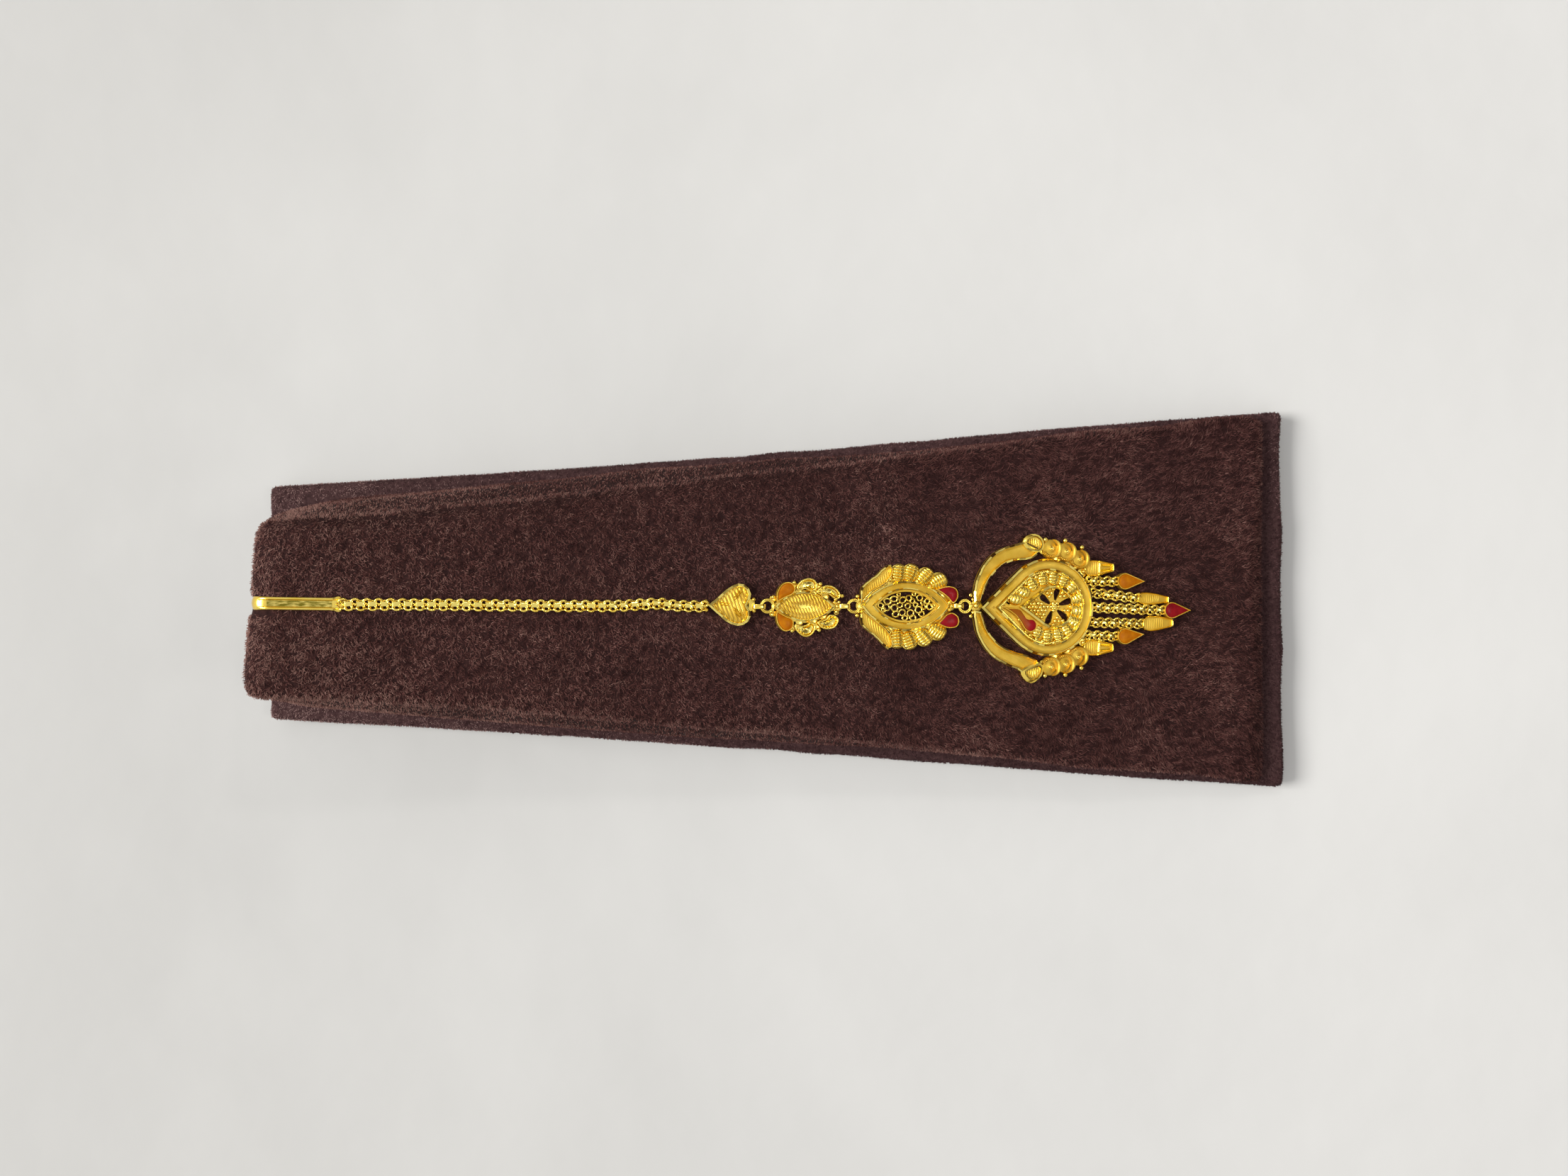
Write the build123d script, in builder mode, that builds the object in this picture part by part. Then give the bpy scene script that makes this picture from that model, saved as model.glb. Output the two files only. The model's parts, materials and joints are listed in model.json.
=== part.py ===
"""Maang tikka, a hair jewel, laid down a plain suede display ramp.

Frame: +X runs from the hook at the ramp's high end to the drops at its low end, +Y is across
the ramp and +Z is up.  The origin is the centre of the base board's underside.  Millimetres.
Jewel pieces are drawn on the ramp's face: along is measured down the slope from the point over
the origin, across is the same as Y, and lift is the height above the face.
"""

import os
from math import acos, cos, radians, sin, tan

from build123d import *

os.makedirs("parts", exist_ok=True)

# Display ramp: a board, and a wedge whose walls all lean in by the angles given
board_length = 160.8
board_width_high = 36.4
board_width_low = 59.2
board_thickness = 4.0
board_corner_radius = 1.5
board_edge_radius = 1.0
pad_back_x = -77.0
pad_front_x = 77.6
pad_width_high = 29.2
pad_width_low = 58.0
pad_corner_radius = 2.6
pad_edge_radius = 2.0
slope_angle = 12.25
face_height = 23.4
back_lean = 14.0
side_lean = 7.0
front_lean = 12.0

# Clearances: a piece lies this far off what carries it, enamel this far inside its cell
gap = 0.2
cell_gap = 0.04

# Goldwork that every link shares
plate = 0.8
rim_height = 1.3
rim_width = 0.4
granule_radius = 0.33
ring_radius = 0.88
ring_wire = 0.44
ring_lift = 0.8
ring_clearance = 0.3
strip_thickness = 0.2
strip_width = 0.65
strip_height = 1.2

# Hook and main chain
hook_front = -59.3
hook_across = -0.25
hook_width = 1.5
hook_thickness = 0.6
hook_back_length = 15.0
hook_bend_radius = 2.5
collar_length = 0.7
collar_width = 2.0
collar_height = 1.3
collar_corner_radius = 0.15
chain_diameter = 1.4
chain_route = [(-58.5, -0.33), (-47.0, -0.38), (-34.0, -0.56), (-23.5, -0.64), (-17.5, -0.36), (-10.5, -0.75)]

# Where each link sits on the face: the heart by its point, the others by their centre
heart_tip = -9.9
heart_across = -0.55
small_centre = 4.1
medium_centre = 19.3
link_across = -0.8
pendant_centre = 41.4
pendant_across = -1.0
pendant_ring = 28.4

# Drops: where each chain starts and ends, then its drop's round end, tip length and kind
drops = [
    {"start": (48.10, 2.83), "end": (52.45, 2.83), "radius": 1.24, "tip": 3.30, "kind": "enamel"},
    {"start": (48.75, 1.11), "end": (56.05, 0.25), "radius": 0.95, "tip": 4.00, "kind": "leaf"},
    {"start": (49.00, -1.10), "end": (60.20, -1.60), "radius": 1.25, "tip": 3.20, "kind": "enamel"},
    {"start": (48.60, -3.32), "end": (56.65, -3.62), "radius": 1.18, "tip": 3.90, "kind": "leaf"},
    {"start": (47.90, -5.30), "end": (52.45, -5.50), "radius": 1.20, "tip": 3.10, "kind": "enamel"},
]

face = Plane(
    origin=(0, 0, face_height),
    x_dir=(cos(radians(slope_angle)), 0, -sin(radians(slope_angle))),
    z_dir=(sin(radians(slope_angle)), 0, cos(radians(slope_angle))),
)


def on_face(along, across, lift=gap):
    """A plane parallel to the ramp's face, centred on a place over it."""
    return Plane(origin=face.from_local_coords((along, across, lift)), x_dir=face.x_dir, z_dir=face.z_dir)


def upright(along, across, lift=gap):
    """A plane that stands on the face along the jewel's line; its Y is the lift."""
    return Plane(origin=face.from_local_coords((along, across, lift)), x_dir=face.x_dir, z_dir=-face.y_dir)


def finish(piece, name):
    """Label a finished piece and write it."""
    piece.part.label = name
    export_step(piece.part, f"parts/{name}.step")


# Base board: a tapered board with softened edges
with BuildPart() as base_board:
    with BuildSketch() as board_outline:
        with BuildLine():
            Polyline(
                (-board_length / 2, board_width_high / 2),
                (board_length / 2, board_width_low / 2),
                (board_length / 2, -board_width_low / 2),
                (-board_length / 2, -board_width_high / 2),
                close=True,
            )
        make_face()
        fillet(board_outline.vertices(), radius=board_corner_radius)
    extrude(amount=board_thickness)
    fillet(base_board.faces().sort_by(Axis.Z)[-1].edges(), radius=board_edge_radius)
finish(base_board, "base_board")


# Ramp pad: a wedge that stands on the board, its walls leaning in, cut off by the sloping face
pad_foot = board_thickness + gap
pad_taper = (pad_width_low - pad_width_high) / 2 / (pad_front_x - pad_back_x)
pad_block_height = 2 * face_height


def pad_outline(height):
    """The pad's outline at a height above its foot."""
    back = pad_back_x + height * tan(radians(back_lean))
    front = pad_front_x - height * tan(radians(front_lean))
    inset = height * tan(radians(side_lean))
    half_back = pad_width_high / 2 + (back - pad_back_x) * pad_taper - inset
    half_front = pad_width_high / 2 + (front - pad_back_x) * pad_taper - inset
    with BuildSketch() as outline:
        with BuildLine():
            Polyline(
                (back, half_back),
                (front, half_front),
                (front, -half_front),
                (back, -half_back),
                close=True,
            )
        make_face()
    return outline.sketch


with BuildPart() as ramp_pad:
    with BuildSketch(Plane.XY.offset(pad_foot)):
        add(pad_outline(0))
    with BuildSketch(Plane.XY.offset(pad_foot + pad_block_height)):
        add(pad_outline(pad_block_height))
    loft(ruled=True)
    split(bisect_by=face, keep=Keep.BOTTOM)
    corners = ramp_pad.edges().filter_by(lambda edge: abs(edge.tangent_at(0.5).Z) > 0.8)
    fillet(corners, radius=pad_corner_radius)
    sloping_face = ramp_pad.faces().sort_by(lambda side: side.normal_at().Z)[-1]
    fillet(sloping_face.edges(), radius=pad_edge_radius)
finish(ramp_pad, "ramp_pad")


# Hook: a flat strip laid on the face, bent over the ridge and down the back wall, with the
# collar that takes the chain soldered across its end.  Its path is drawn in the X-Z plane.
down_slope = Vector(face.x_dir.X, face.x_dir.Z)
face_normal = Vector(face.z_dir.X, face.z_dir.Z)
wall_normal = Vector(-cos(radians(back_lean)), sin(radians(back_lean)))
down_wall = Vector(-sin(radians(back_lean)), -cos(radians(back_lean)))
ridge_x = (pad_back_x + (face_height - pad_foot) * tan(radians(back_lean))) / (
    1 + tan(radians(slope_angle)) * tan(radians(back_lean))
)
ridge = Vector(ridge_x, face_height - ridge_x * tan(radians(slope_angle)))
hook_lift = gap + hook_thickness / 2
hook_corner = ridge + (face_normal + wall_normal) * (hook_lift / (1 + face_normal.dot(wall_normal)))
hook_start = Vector(0, face_height) + down_slope * hook_front + face_normal * hook_lift
hook_end = hook_corner + down_wall * hook_back_length
with BuildPart() as hook:
    with BuildSketch(Plane.XZ.offset(-hook_across)):
        with BuildLine():
            FilletPolyline(hook_start, hook_corner, hook_end, radius=hook_bend_radius)
        trace(line_width=hook_thickness)
    extrude(amount=hook_width / 2, both=True)
    with BuildSketch(on_face(hook_front + collar_length / 2, hook_across)):
        RectangleRounded(collar_length, collar_width, collar_corner_radius)
    extrude(amount=collar_height)
finish(hook, "hook")


# Chains: each is one round tube along its route, a little above the face
def chain(route):
    """A tube along straight runs joined by tangent arcs as large as the runs allow."""
    points = [Vector(along, across) for along, across in route]
    runs = [(end - start).length for start, end in zip(points, points[1:])]
    radii = []
    for before, corner, after, run, next_run in zip(points, points[1:], points[2:], runs, runs[1:]):
        turn = radians((corner - before).get_angle(after - corner))
        radii.append(0.45 * min(run, next_run) / tan(turn / 2))
    with BuildPart() as tube:
        with BuildLine(on_face(0, 0, gap + chain_diameter / 2)) as path:
            if radii:
                FilletPolyline(*route, radius=radii)
            else:
                Line(*route)
        with BuildSketch(Plane(origin=path.line @ 0, z_dir=path.line % 0)):
            Circle(chain_diameter / 2)
        sweep()
    print(f"chain {path.wire().length:.1f} long, arcs {[round(radius) for radius in radii]}")
    return tube


main_chain = chain(chain_route)
finish(main_chain, "main_chain")


# Outlines that the links and the pendant are drawn with
def rim(outline, width=rim_width):
    """The band of an outline that lies within width of its edge."""
    with BuildSketch() as band:
        add(outline)
        offset(outline, amount=-width, mode=Mode.SUBTRACT)
    return band.sketch


def marquise(length, width):
    """A pointed oval with its tips on the X axis."""
    with BuildSketch() as oval:
        with BuildLine():
            ThreePointArc((-length / 2, 0), (0, width / 2), (length / 2, 0))
            ThreePointArc((length / 2, 0), (0, -width / 2), (-length / 2, 0))
        make_face()
    return oval.sketch


def teardrop(radius, tip):
    """A circle at the origin drawn out to a point on +X by two tangent lines."""
    turn = acos(radius / tip)
    touch_x = radius * cos(turn)
    touch_y = radius * sin(turn)
    with BuildSketch() as drop:
        with BuildLine():
            ThreePointArc((touch_x, touch_y), (-radius, 0), (touch_x, -touch_y))
            Polyline((touch_x, -touch_y), (tip, 0), (touch_x, touch_y))
        make_face()
    return drop.sketch


def cell_wall(cell):
    """The wall round an enamel cell, with its floor filled in."""
    return teardrop(cell["radius"] + 0.6 * rim_width, cell["tip"] + rim_width)


def cell_places(cell):
    """A cell's place on the +Y side of a link, and its mirror image."""
    along, across = cell["centre"]
    return [Location((along, across), cell["turn"]), Location((along, -across), -cell["turn"])]


def both_sides(*places):
    """The given places and their mirror images across the jewel's line."""
    return [(along, side * across) for along, across in places for side in (1, -1)]


def enamel(cell, place, along, across):
    """The enamel in one cell of a link, just clear of its wall."""
    with BuildPart() as fill:
        with BuildSketch(on_face(along, across, gap + plate)):
            with Locations(place):
                add(teardrop(cell["radius"] - cell_gap, cell["tip"] - cell_gap))
        extrude(amount=rim_height - plate)
    return fill


def strip_loop(length):
    """The side view of a strip folded into a flattened loop that starts at the origin."""
    with BuildSketch() as loop:
        with Locations((length / 2, strip_height / 2)):
            SlotOverall(length, strip_height)
            SlotOverall(length - 2 * strip_thickness, strip_height - 2 * strip_thickness, mode=Mode.SUBTRACT)
    return loop.sketch


# Heart: a rimmed plate with its point to the chain, and the strip loop that holds the next ring
heart_length = 6.2
heart_half_width = 3.0
heart_lobe = (4.3, heart_half_width)
heart_notch = (5.5, 0)
heart_flank = (1.9, 2.05)
heart_lobe_end = (heart_length, 1.5)
heart_neck = (1.1, 2.4)
heart_beads = [(0.0, 0.62), (heart_length + 0.35, 0.8)]
heart_loop_start = heart_length + 0.2
heart_loop_length = 2.0
with BuildSketch() as heart_outline:
    with BuildLine():
        ThreePointArc((0, 0), heart_flank, heart_lobe)
        ThreePointArc(heart_lobe, heart_lobe_end, heart_notch)
        mirror(about=Plane.XZ)
    make_face()
with BuildPart() as heart_motif:
    with BuildSketch(on_face(heart_tip, heart_across)):
        add(heart_outline.sketch)
        with Locations(*both_sides(*heart_beads)):
            Circle(granule_radius)
        with Locations((heart_length, 0)):
            Rectangle(*heart_neck)
    extrude(amount=plate)
    with BuildSketch(on_face(heart_tip, heart_across, gap + plate)):
        add(rim(heart_outline.sketch))
    extrude(amount=rim_height - plate)
    with BuildSketch(upright(heart_tip + heart_loop_start, link_across)):
        add(strip_loop(heart_loop_length))
    extrude(amount=strip_width / 2, both=True)
finish(heart_motif, "heart_motif")


# Small link: ring, pointed oval, curled leaves, side leaves, beads, two cells and a strip loop
small_length = 8.45
small_width = 4.1
small_cell = {"centre": (-2.75, 2.4), "radius": 0.85, "tip": 2.3, "turn": 235.0}
small_curl = (0.95, 3.1)
small_curl_radius = 0.95
small_curl_stem = (-0.2, 2.45)
small_curl_stem_size = (2.0, 1.1)
small_leaf = (3.3, 1.75)
small_leaf_size = (3.4, 1.8)
small_leaf_turn = -22.0
small_beads = [(-1.55, 3.05), (2.15, 3.15), (4.9, 0.85), (-4.35, 0.95)]
small_neck = (1.6, 1.2)
small_neck_offset = 0.6
small_loop_offset = 1.0
small_loop_length = 1.8
ring_neck = (0.9, 0.8)
small_oval = marquise(small_length, small_width)
with BuildPart() as small_motif:
    with BuildSketch(on_face(small_centre, link_across)):
        add(small_oval)
        with Locations(*cell_places(small_cell)):
            add(cell_wall(small_cell))
        with Locations(*both_sides(small_curl)):
            Circle(small_curl_radius)
        with Locations(*both_sides(small_curl_stem)):
            Rectangle(*small_curl_stem_size)
        for side in (1, -1):
            with Locations(Location((small_leaf[0], side * small_leaf[1]), side * small_leaf_turn)):
                add(marquise(*small_leaf_size))
        with Locations(*both_sides(*small_beads)):
            Circle(granule_radius)
        with Locations((small_length / 2 + small_neck_offset, 0)):
            Rectangle(*small_neck)
    extrude(amount=plate)
    with BuildSketch(on_face(small_centre, link_across, gap + plate)):
        add(rim(small_oval))
        with Locations(*cell_places(small_cell)):
            add(cell_wall(small_cell))
            add(teardrop(small_cell["radius"], small_cell["tip"]), mode=Mode.SUBTRACT)
    extrude(amount=rim_height - plate)
    small_start = small_centre - small_length / 2
    with Locations(on_face(small_start - ring_radius - ring_clearance, link_across, ring_lift)):
        Torus(ring_radius, ring_wire / 2)
    with BuildSketch(on_face(small_start, link_across, ring_lift - ring_wire / 2)):
        Rectangle(*ring_neck)
    extrude(amount=ring_wire)
    with BuildSketch(upright(small_centre + small_length / 2 + small_loop_offset, link_across)):
        add(strip_loop(small_loop_length))
    extrude(amount=strip_width / 2, both=True)
finish(small_motif, "small_motif")
for place, side_name in zip(cell_places(small_cell), ("upper", "lower")):
    finish(enamel(small_cell, place, small_centre, link_across), f"enamel_small_{side_name}")


# Medium link: ring, pointed oval with a grille in its opening, two wings, four shells a side,
# beads, two cells and a strip loop
medium_length = 13.3
medium_width = 7.2
medium_opening = (9.8, 4.8)
medium_grille = (8.2, 3.2)
medium_bar = 0.8
medium_cell = {"centre": (6.9, 2.05), "radius": 0.8, "tip": 2.4, "turn": 165.0}
wing_root = (-6.9, 0.8)
wing_back = (-4.6, 5.0)
wing_tip = (-2.5, 6.0)
wing_belly = (-3.3, 4.1)
wing_root_inner = (-6.0, 0.4)
shell_radius = 1.15
shells = [(-1.4, 4.55), (0.6, 4.6), (2.8, 4.3), (4.8, 3.7)]
medium_beads = [(-2.55, 3.5), (-6.9, 1.3), (6.6, 0.6)]
medium_neck = (1.6, 1.6)
medium_neck_offset = 0.3
medium_loop_offset = 0.9
medium_loop_length = 1.6
medium_oval = marquise(medium_length, medium_width)
with BuildPart() as medium_motif:
    with BuildSketch(on_face(medium_centre, link_across)):
        with BuildLine():
            Spline(wing_root, wing_back, wing_tip)
            Spline(wing_tip, wing_belly, wing_root_inner)
            Line(wing_root_inner, wing_root)
        make_face()
        mirror(about=Plane.XZ)
        add(medium_oval)
        with Locations(*both_sides(*shells)):
            Circle(shell_radius)
        with Locations(*cell_places(medium_cell)):
            add(cell_wall(medium_cell))
        with Locations(*both_sides(*medium_beads)):
            Circle(granule_radius)
        with Locations((medium_length / 2 + medium_neck_offset, 0)):
            Rectangle(*medium_neck)
    extrude(amount=plate)
    with BuildSketch(on_face(medium_centre, link_across)):
        add(marquise(*medium_opening))
        add(marquise(*medium_grille), mode=Mode.SUBTRACT)
        Rectangle(medium_opening[0], medium_bar, mode=Mode.SUBTRACT)
        Rectangle(medium_bar, medium_opening[1], mode=Mode.SUBTRACT)
    extrude(amount=plate, mode=Mode.SUBTRACT)
    with BuildSketch(on_face(medium_centre, link_across, gap + plate)):
        add(rim(medium_oval))
        add(rim(marquise(medium_opening[0] + 2 * rim_width, medium_opening[1] + 2 * rim_width)))
        with Locations(*cell_places(medium_cell)):
            add(cell_wall(medium_cell))
            add(teardrop(medium_cell["radius"], medium_cell["tip"]), mode=Mode.SUBTRACT)
    extrude(amount=rim_height - plate)
    medium_start = medium_centre - medium_length / 2
    with Locations(on_face(medium_start - ring_radius - ring_clearance, link_across, ring_lift)):
        Torus(ring_radius, ring_wire / 2)
    with BuildSketch(on_face(medium_start, link_across, ring_lift - ring_wire / 2)):
        Rectangle(*ring_neck)
    extrude(amount=ring_wire)
    with BuildSketch(upright(medium_centre + medium_length / 2 + medium_loop_offset, link_across)):
        add(strip_loop(medium_loop_length))
    extrude(amount=strip_width / 2, both=True)
finish(medium_motif, "medium_motif")
for place, side_name in zip(cell_places(medium_cell), ("upper", "lower")):
    finish(enamel(medium_cell, place, medium_centre, link_across), f"enamel_medium_{side_name}")


# Pendant: a drop-shaped plate pointing at its ring, with three raised frames, petals round the
# middle one, an arm at each side that ends in a lobe, scallops, leaf ends and one enamel cell
outer_frame = (7.25, 10.6)
inner_frame = (5.7, 8.2)
middle_frame = (3.1, 5.5)
middle_shift = 1.0
frame_height = 1.0
petal_distance = 4.4
petal_size = (0.62, 0.5)
petal_count = 14
petal_start = 168.0
petal_sweep = -284.0
scallop_radius = 1.35
scallop_distance = 8.45
scallop_angles = (87.0, 71.5, 56.0)
bead_distance = 10.0
leaf_end = (6.7, 6.2)
leaf_end_size = (1.1, 4.1)
lobe_centre = (-2.2, 9.3)
lobe_radius = 1.4
pendant_neck = (2.4, 1.8)
pendant_neck_along = -11.1
pendant_cell = {"centre": (-2.85, -2.65), "radius": 0.9, "tip": 4.8, "turn": 148.0}
pendant_cell_place = Location(pendant_cell["centre"], pendant_cell["turn"])


def round_pendant(distance, angle):
    """A place at a distance and an angle from the pendant's centre."""
    return (distance * cos(radians(angle)), distance * sin(radians(angle)))


with BuildSketch() as upper_arm:
    with BuildLine():
        ThreePointArc((-11.6, 1.0), (-9.2, 7.0), (-3.6, 9.7))
        Line((-3.6, 9.7), (-1.6, 7.3))
        ThreePointArc((-1.6, 7.3), (-8.1, 5.3), (-10.3, 0.3))
        Line((-10.3, 0.3), (-11.6, 1.0))
    make_face()
    with Locations(lobe_centre):
        Circle(lobe_radius)
with BuildSketch() as arms:
    add(upper_arm.sketch)
    mirror(upper_arm.sketch, about=Plane.XZ)
with BuildSketch() as arm_rims:
    add(rim(upper_arm.sketch))
    mirror(rim(upper_arm.sketch), about=Plane.XZ)
with BuildPart() as pendant:
    with BuildSketch(on_face(pendant_centre, pendant_across)):
        add(teardrop(*outer_frame), rotation=180)
        add(arms.sketch)
        with Locations(*both_sides(*(round_pendant(scallop_distance, angle) for angle in scallop_angles))):
            Circle(scallop_radius)
        with Locations(*both_sides(*(round_pendant(bead_distance, angle + 2) for angle in scallop_angles))):
            Circle(granule_radius)
        with Locations(*both_sides(leaf_end)):
            add(teardrop(*leaf_end_size))
        with Locations((pendant_neck_along, 0)):
            Rectangle(*pendant_neck)
    extrude(amount=plate)
    with BuildSketch(on_face(pendant_centre, pendant_across, gap + plate)):
        add(rim(teardrop(*outer_frame)), rotation=180)
        add(rim(teardrop(*inner_frame)), rotation=180)
        with Locations((middle_shift, 0)):
            add(rim(teardrop(*middle_frame)), rotation=180)
        add(arm_rims.sketch)
        with Locations(pendant_cell_place):
            add(cell_wall(pendant_cell))
            add(teardrop(pendant_cell["radius"], pendant_cell["tip"]), mode=Mode.SUBTRACT)
    extrude(amount=frame_height)
    with BuildSketch(on_face(pendant_centre, pendant_across, gap + plate)):
        with Locations((middle_shift / 2, 0)):
            with PolarLocations(petal_distance, petal_count, petal_start, petal_sweep, endpoint=True):
                Ellipse(*petal_size)
        with Locations(pendant_cell_place):
            add(teardrop(pendant_cell["radius"], pendant_cell["tip"]), mode=Mode.SUBTRACT)
    extrude(amount=rim_height - plate)
    with Locations(on_face(pendant_ring, pendant_across, ring_lift)):
        Torus(ring_radius, ring_wire / 2)
finish(pendant, "pendant")
finish(enamel(pendant_cell, pendant_cell_place, pendant_centre, pendant_across), "enamel_pendant")


# Drops: five short chains, each ending in an enamelled bezel or a plain leaf
for number, hanging in enumerate(drops, start=1):
    finish(chain([hanging["start"], hanging["end"]]), f"drop_chain_{number}")
    centre_along = hanging["end"][0] + gap + hanging["radius"]
    centre_across = hanging["end"][1]
    cell = {"radius": hanging["radius"] - rim_width, "tip": hanging["tip"] - 2 * rim_width}
    with BuildPart() as drop:
        with BuildSketch(on_face(centre_along, centre_across)):
            add(teardrop(hanging["radius"], hanging["tip"]))
        extrude(amount=rim_height)
        if hanging["kind"] == "enamel":
            with BuildSketch(on_face(centre_along, centre_across, gap + plate)):
                add(teardrop(cell["radius"], cell["tip"]))
            extrude(amount=rim_height - plate, mode=Mode.SUBTRACT)
    finish(drop, f"drop_{number}")
    if hanging["kind"] == "enamel":
        finish(enamel(cell, Location((0, 0)), centre_along, centre_across), f"enamel_drop_{number}")
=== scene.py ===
"""Looks of a maang tikka, a gold hair jewel, laid down a suede display ramp.

The finished pieces are in metres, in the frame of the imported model: +X runs from the hook to the
drops, and +Z up.
"""

import json
import math

import bpy
import numpy as np
from mathutils import Matrix, Vector

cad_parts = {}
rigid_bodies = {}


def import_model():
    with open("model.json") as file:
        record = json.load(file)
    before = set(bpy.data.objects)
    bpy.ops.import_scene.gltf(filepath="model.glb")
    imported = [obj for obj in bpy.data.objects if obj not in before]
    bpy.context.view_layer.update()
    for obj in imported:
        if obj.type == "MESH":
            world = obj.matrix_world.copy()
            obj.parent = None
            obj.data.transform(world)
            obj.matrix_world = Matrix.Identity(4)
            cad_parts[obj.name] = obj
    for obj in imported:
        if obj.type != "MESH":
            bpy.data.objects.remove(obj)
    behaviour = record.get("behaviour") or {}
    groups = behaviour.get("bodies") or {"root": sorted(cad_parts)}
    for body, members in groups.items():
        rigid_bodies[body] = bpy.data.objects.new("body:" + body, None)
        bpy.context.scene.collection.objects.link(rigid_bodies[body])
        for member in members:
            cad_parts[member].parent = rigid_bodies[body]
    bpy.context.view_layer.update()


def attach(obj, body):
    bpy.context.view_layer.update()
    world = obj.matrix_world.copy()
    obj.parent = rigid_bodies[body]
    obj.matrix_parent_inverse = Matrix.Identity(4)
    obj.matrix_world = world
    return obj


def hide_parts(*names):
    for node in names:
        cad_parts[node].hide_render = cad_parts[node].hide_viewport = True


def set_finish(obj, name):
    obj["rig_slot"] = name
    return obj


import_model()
MM = 0.001
deal = np.random.default_rng(7)


# Camera, lamps and floor.  The camera looks straight down on the ramp from less than 20 cm.  A
# wide soft lamp at the left and a weaker one at the right light it, with a small lamp near the
# camera for glints; the floor is pale board, its colour painted paler towards +X, painted light
# that evens out the left lamp's fall-off.
def deselect():
    """Leave nothing selected, so that the next operator acts on its own piece only."""
    bpy.ops.object.select_all(action="DESELECT")


def soft_lamp(name, place, aim, size, watts, colour):
    """A square area lamp turned towards a point."""
    deselect()
    bpy.ops.object.light_add(type="AREA", location=place)
    lamp = bpy.context.object
    lamp.name = name
    lamp.rotation_euler = (Vector(aim) - Vector(place)).to_track_quat("-Z", "Y").to_euler()
    lamp.data.size = size
    lamp.data.energy = watts
    lamp.data.color = colour
    lamp.visible_camera = False
    return lamp


deselect()
bpy.ops.object.camera_add(location=(1.25 * MM, 1.83 * MM, 191.5 * MM), rotation=(0, 0, 0))
camera = bpy.context.object
camera.data.sensor_width = 36.0
camera.data.lens = 27.03
camera.data.clip_start = 5 * MM
bpy.context.scene.camera = camera
bpy.context.scene.view_settings.view_transform = "Standard"

soft_lamp("window_lamp", (-0.95, 0.04, 0.78), (0, 0, 0), 0.46, 16.0, (1.0, 0.985, 0.96))
soft_lamp("near_lamp", (0.01, 0.08, 0.188), (0, 0, 0), 0.012, 0.03, (1.0, 0.98, 0.95))
soft_lamp("fill_lamp", (0.56, -0.05, 0.84), (0.02, 0, 0.02), 0.16, 0.9, (1.0, 0.99, 0.97))


class Value:
    """A number that varies over a surface; arithmetic on it adds Math nodes."""

    def __init__(self, tree, socket):
        self.tree = tree
        self.socket = socket

    def _math(self, operation, *terms):
        made = self.tree.nodes.new("ShaderNodeMath")
        made.operation = operation
        for slot, term in zip(made.inputs, terms):
            if isinstance(term, Value):
                self.tree.links.new(term.socket, slot)
            else:
                slot.default_value = term
        return Value(self.tree, made.outputs[0])

    def __add__(self, other):
        return self._math("ADD", self, other)

    def __radd__(self, other):
        return self._math("ADD", other, self)

    def __sub__(self, other):
        return self._math("SUBTRACT", self, other)

    def __rsub__(self, other):
        return self._math("SUBTRACT", other, self)

    def __mul__(self, other):
        return self._math("MULTIPLY", self, other)

    def __rmul__(self, other):
        return self._math("MULTIPLY", other, self)

    def between(self, low, high):
        """0 where the value is at low, 1 where it is at high, and held at both ends."""
        scaled = (self - low) * (1 / (high - low))
        return scaled._math("MINIMUM", scaled._math("MAXIMUM", scaled, 0.0), 1.0)


class Nodes:
    """The shader nodes of a material or of the room."""

    def __init__(self, tree, shader):
        self.tree = tree
        self.shader = tree.nodes[shader]

    def node(self, kind, settings, sockets):
        """Add a node: its settings first, then a value or a link for each named socket."""
        made = self.tree.nodes.new(kind)
        for setting, value in settings.items():
            setattr(made, setting, value)
        for socket, value in sockets.items():
            self.feed(made.inputs[socket], value)
        return made

    def feed(self, slot, value):
        """Link a value into a socket, or set it there."""
        if isinstance(value, Value):
            self.tree.links.new(value.socket, slot)
        elif isinstance(value, bpy.types.NodeSocket):
            self.tree.links.new(value, slot)
        else:
            slot.default_value = value

    def drive(self, socket, value):
        """Give one of the shader's sockets a value that varies."""
        self.feed(self.shader.inputs[socket], value)

    def mix(self, factor, first, second):
        """A colour between two others."""
        made = self.node("ShaderNodeMix", {"data_type": "RGBA"}, {})
        for slot, value in zip((0, 6, 7), (factor, first, second)):
            self.feed(made.inputs[slot], value)
        return made.outputs[2]


class Surface(Nodes):
    """A material with one Principled shader; constants go straight onto its sockets."""

    def __init__(self, name, constants):
        self.material = bpy.data.materials.new(name)
        self.material.use_nodes = True
        super().__init__(self.material.node_tree, "Principled BSDF")
        for socket, value in constants.items():
            self.shader.inputs[socket].default_value = value

    def place(self):
        """Places on the object."""
        return self.node("ShaderNodeTexCoord", {}, {}).outputs["Object"]

    def along_x(self):
        """How far along X, in metres."""
        parted = self.node("ShaderNodeSeparateXYZ", {}, {"Vector": self.place()})
        return Value(self.tree, parted.outputs["X"])

    def grain(self, scale, detail=3.0, roughness=0.5, stretch=(1, 1, 1)):
        """Noise over the object, with so many features to the metre."""
        where = {"Vector": self.place(), "Scale": stretch}
        where = self.node("ShaderNodeMapping", {}, where).outputs["Vector"]
        sockets = {"Vector": where, "Scale": scale, "Detail": detail, "Roughness": roughness}
        return Value(self.tree, self.node("ShaderNodeTexNoise", {}, sockets).outputs["Fac"])

    def bump(self, height, strength, distance):
        """Tilt the surface by a height that varies over it."""
        sockets = {"Height": height, "Strength": strength, "Distance": distance}
        self.drive("Normal", self.node("ShaderNodeBump", {}, sockets).outputs["Normal"])


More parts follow.
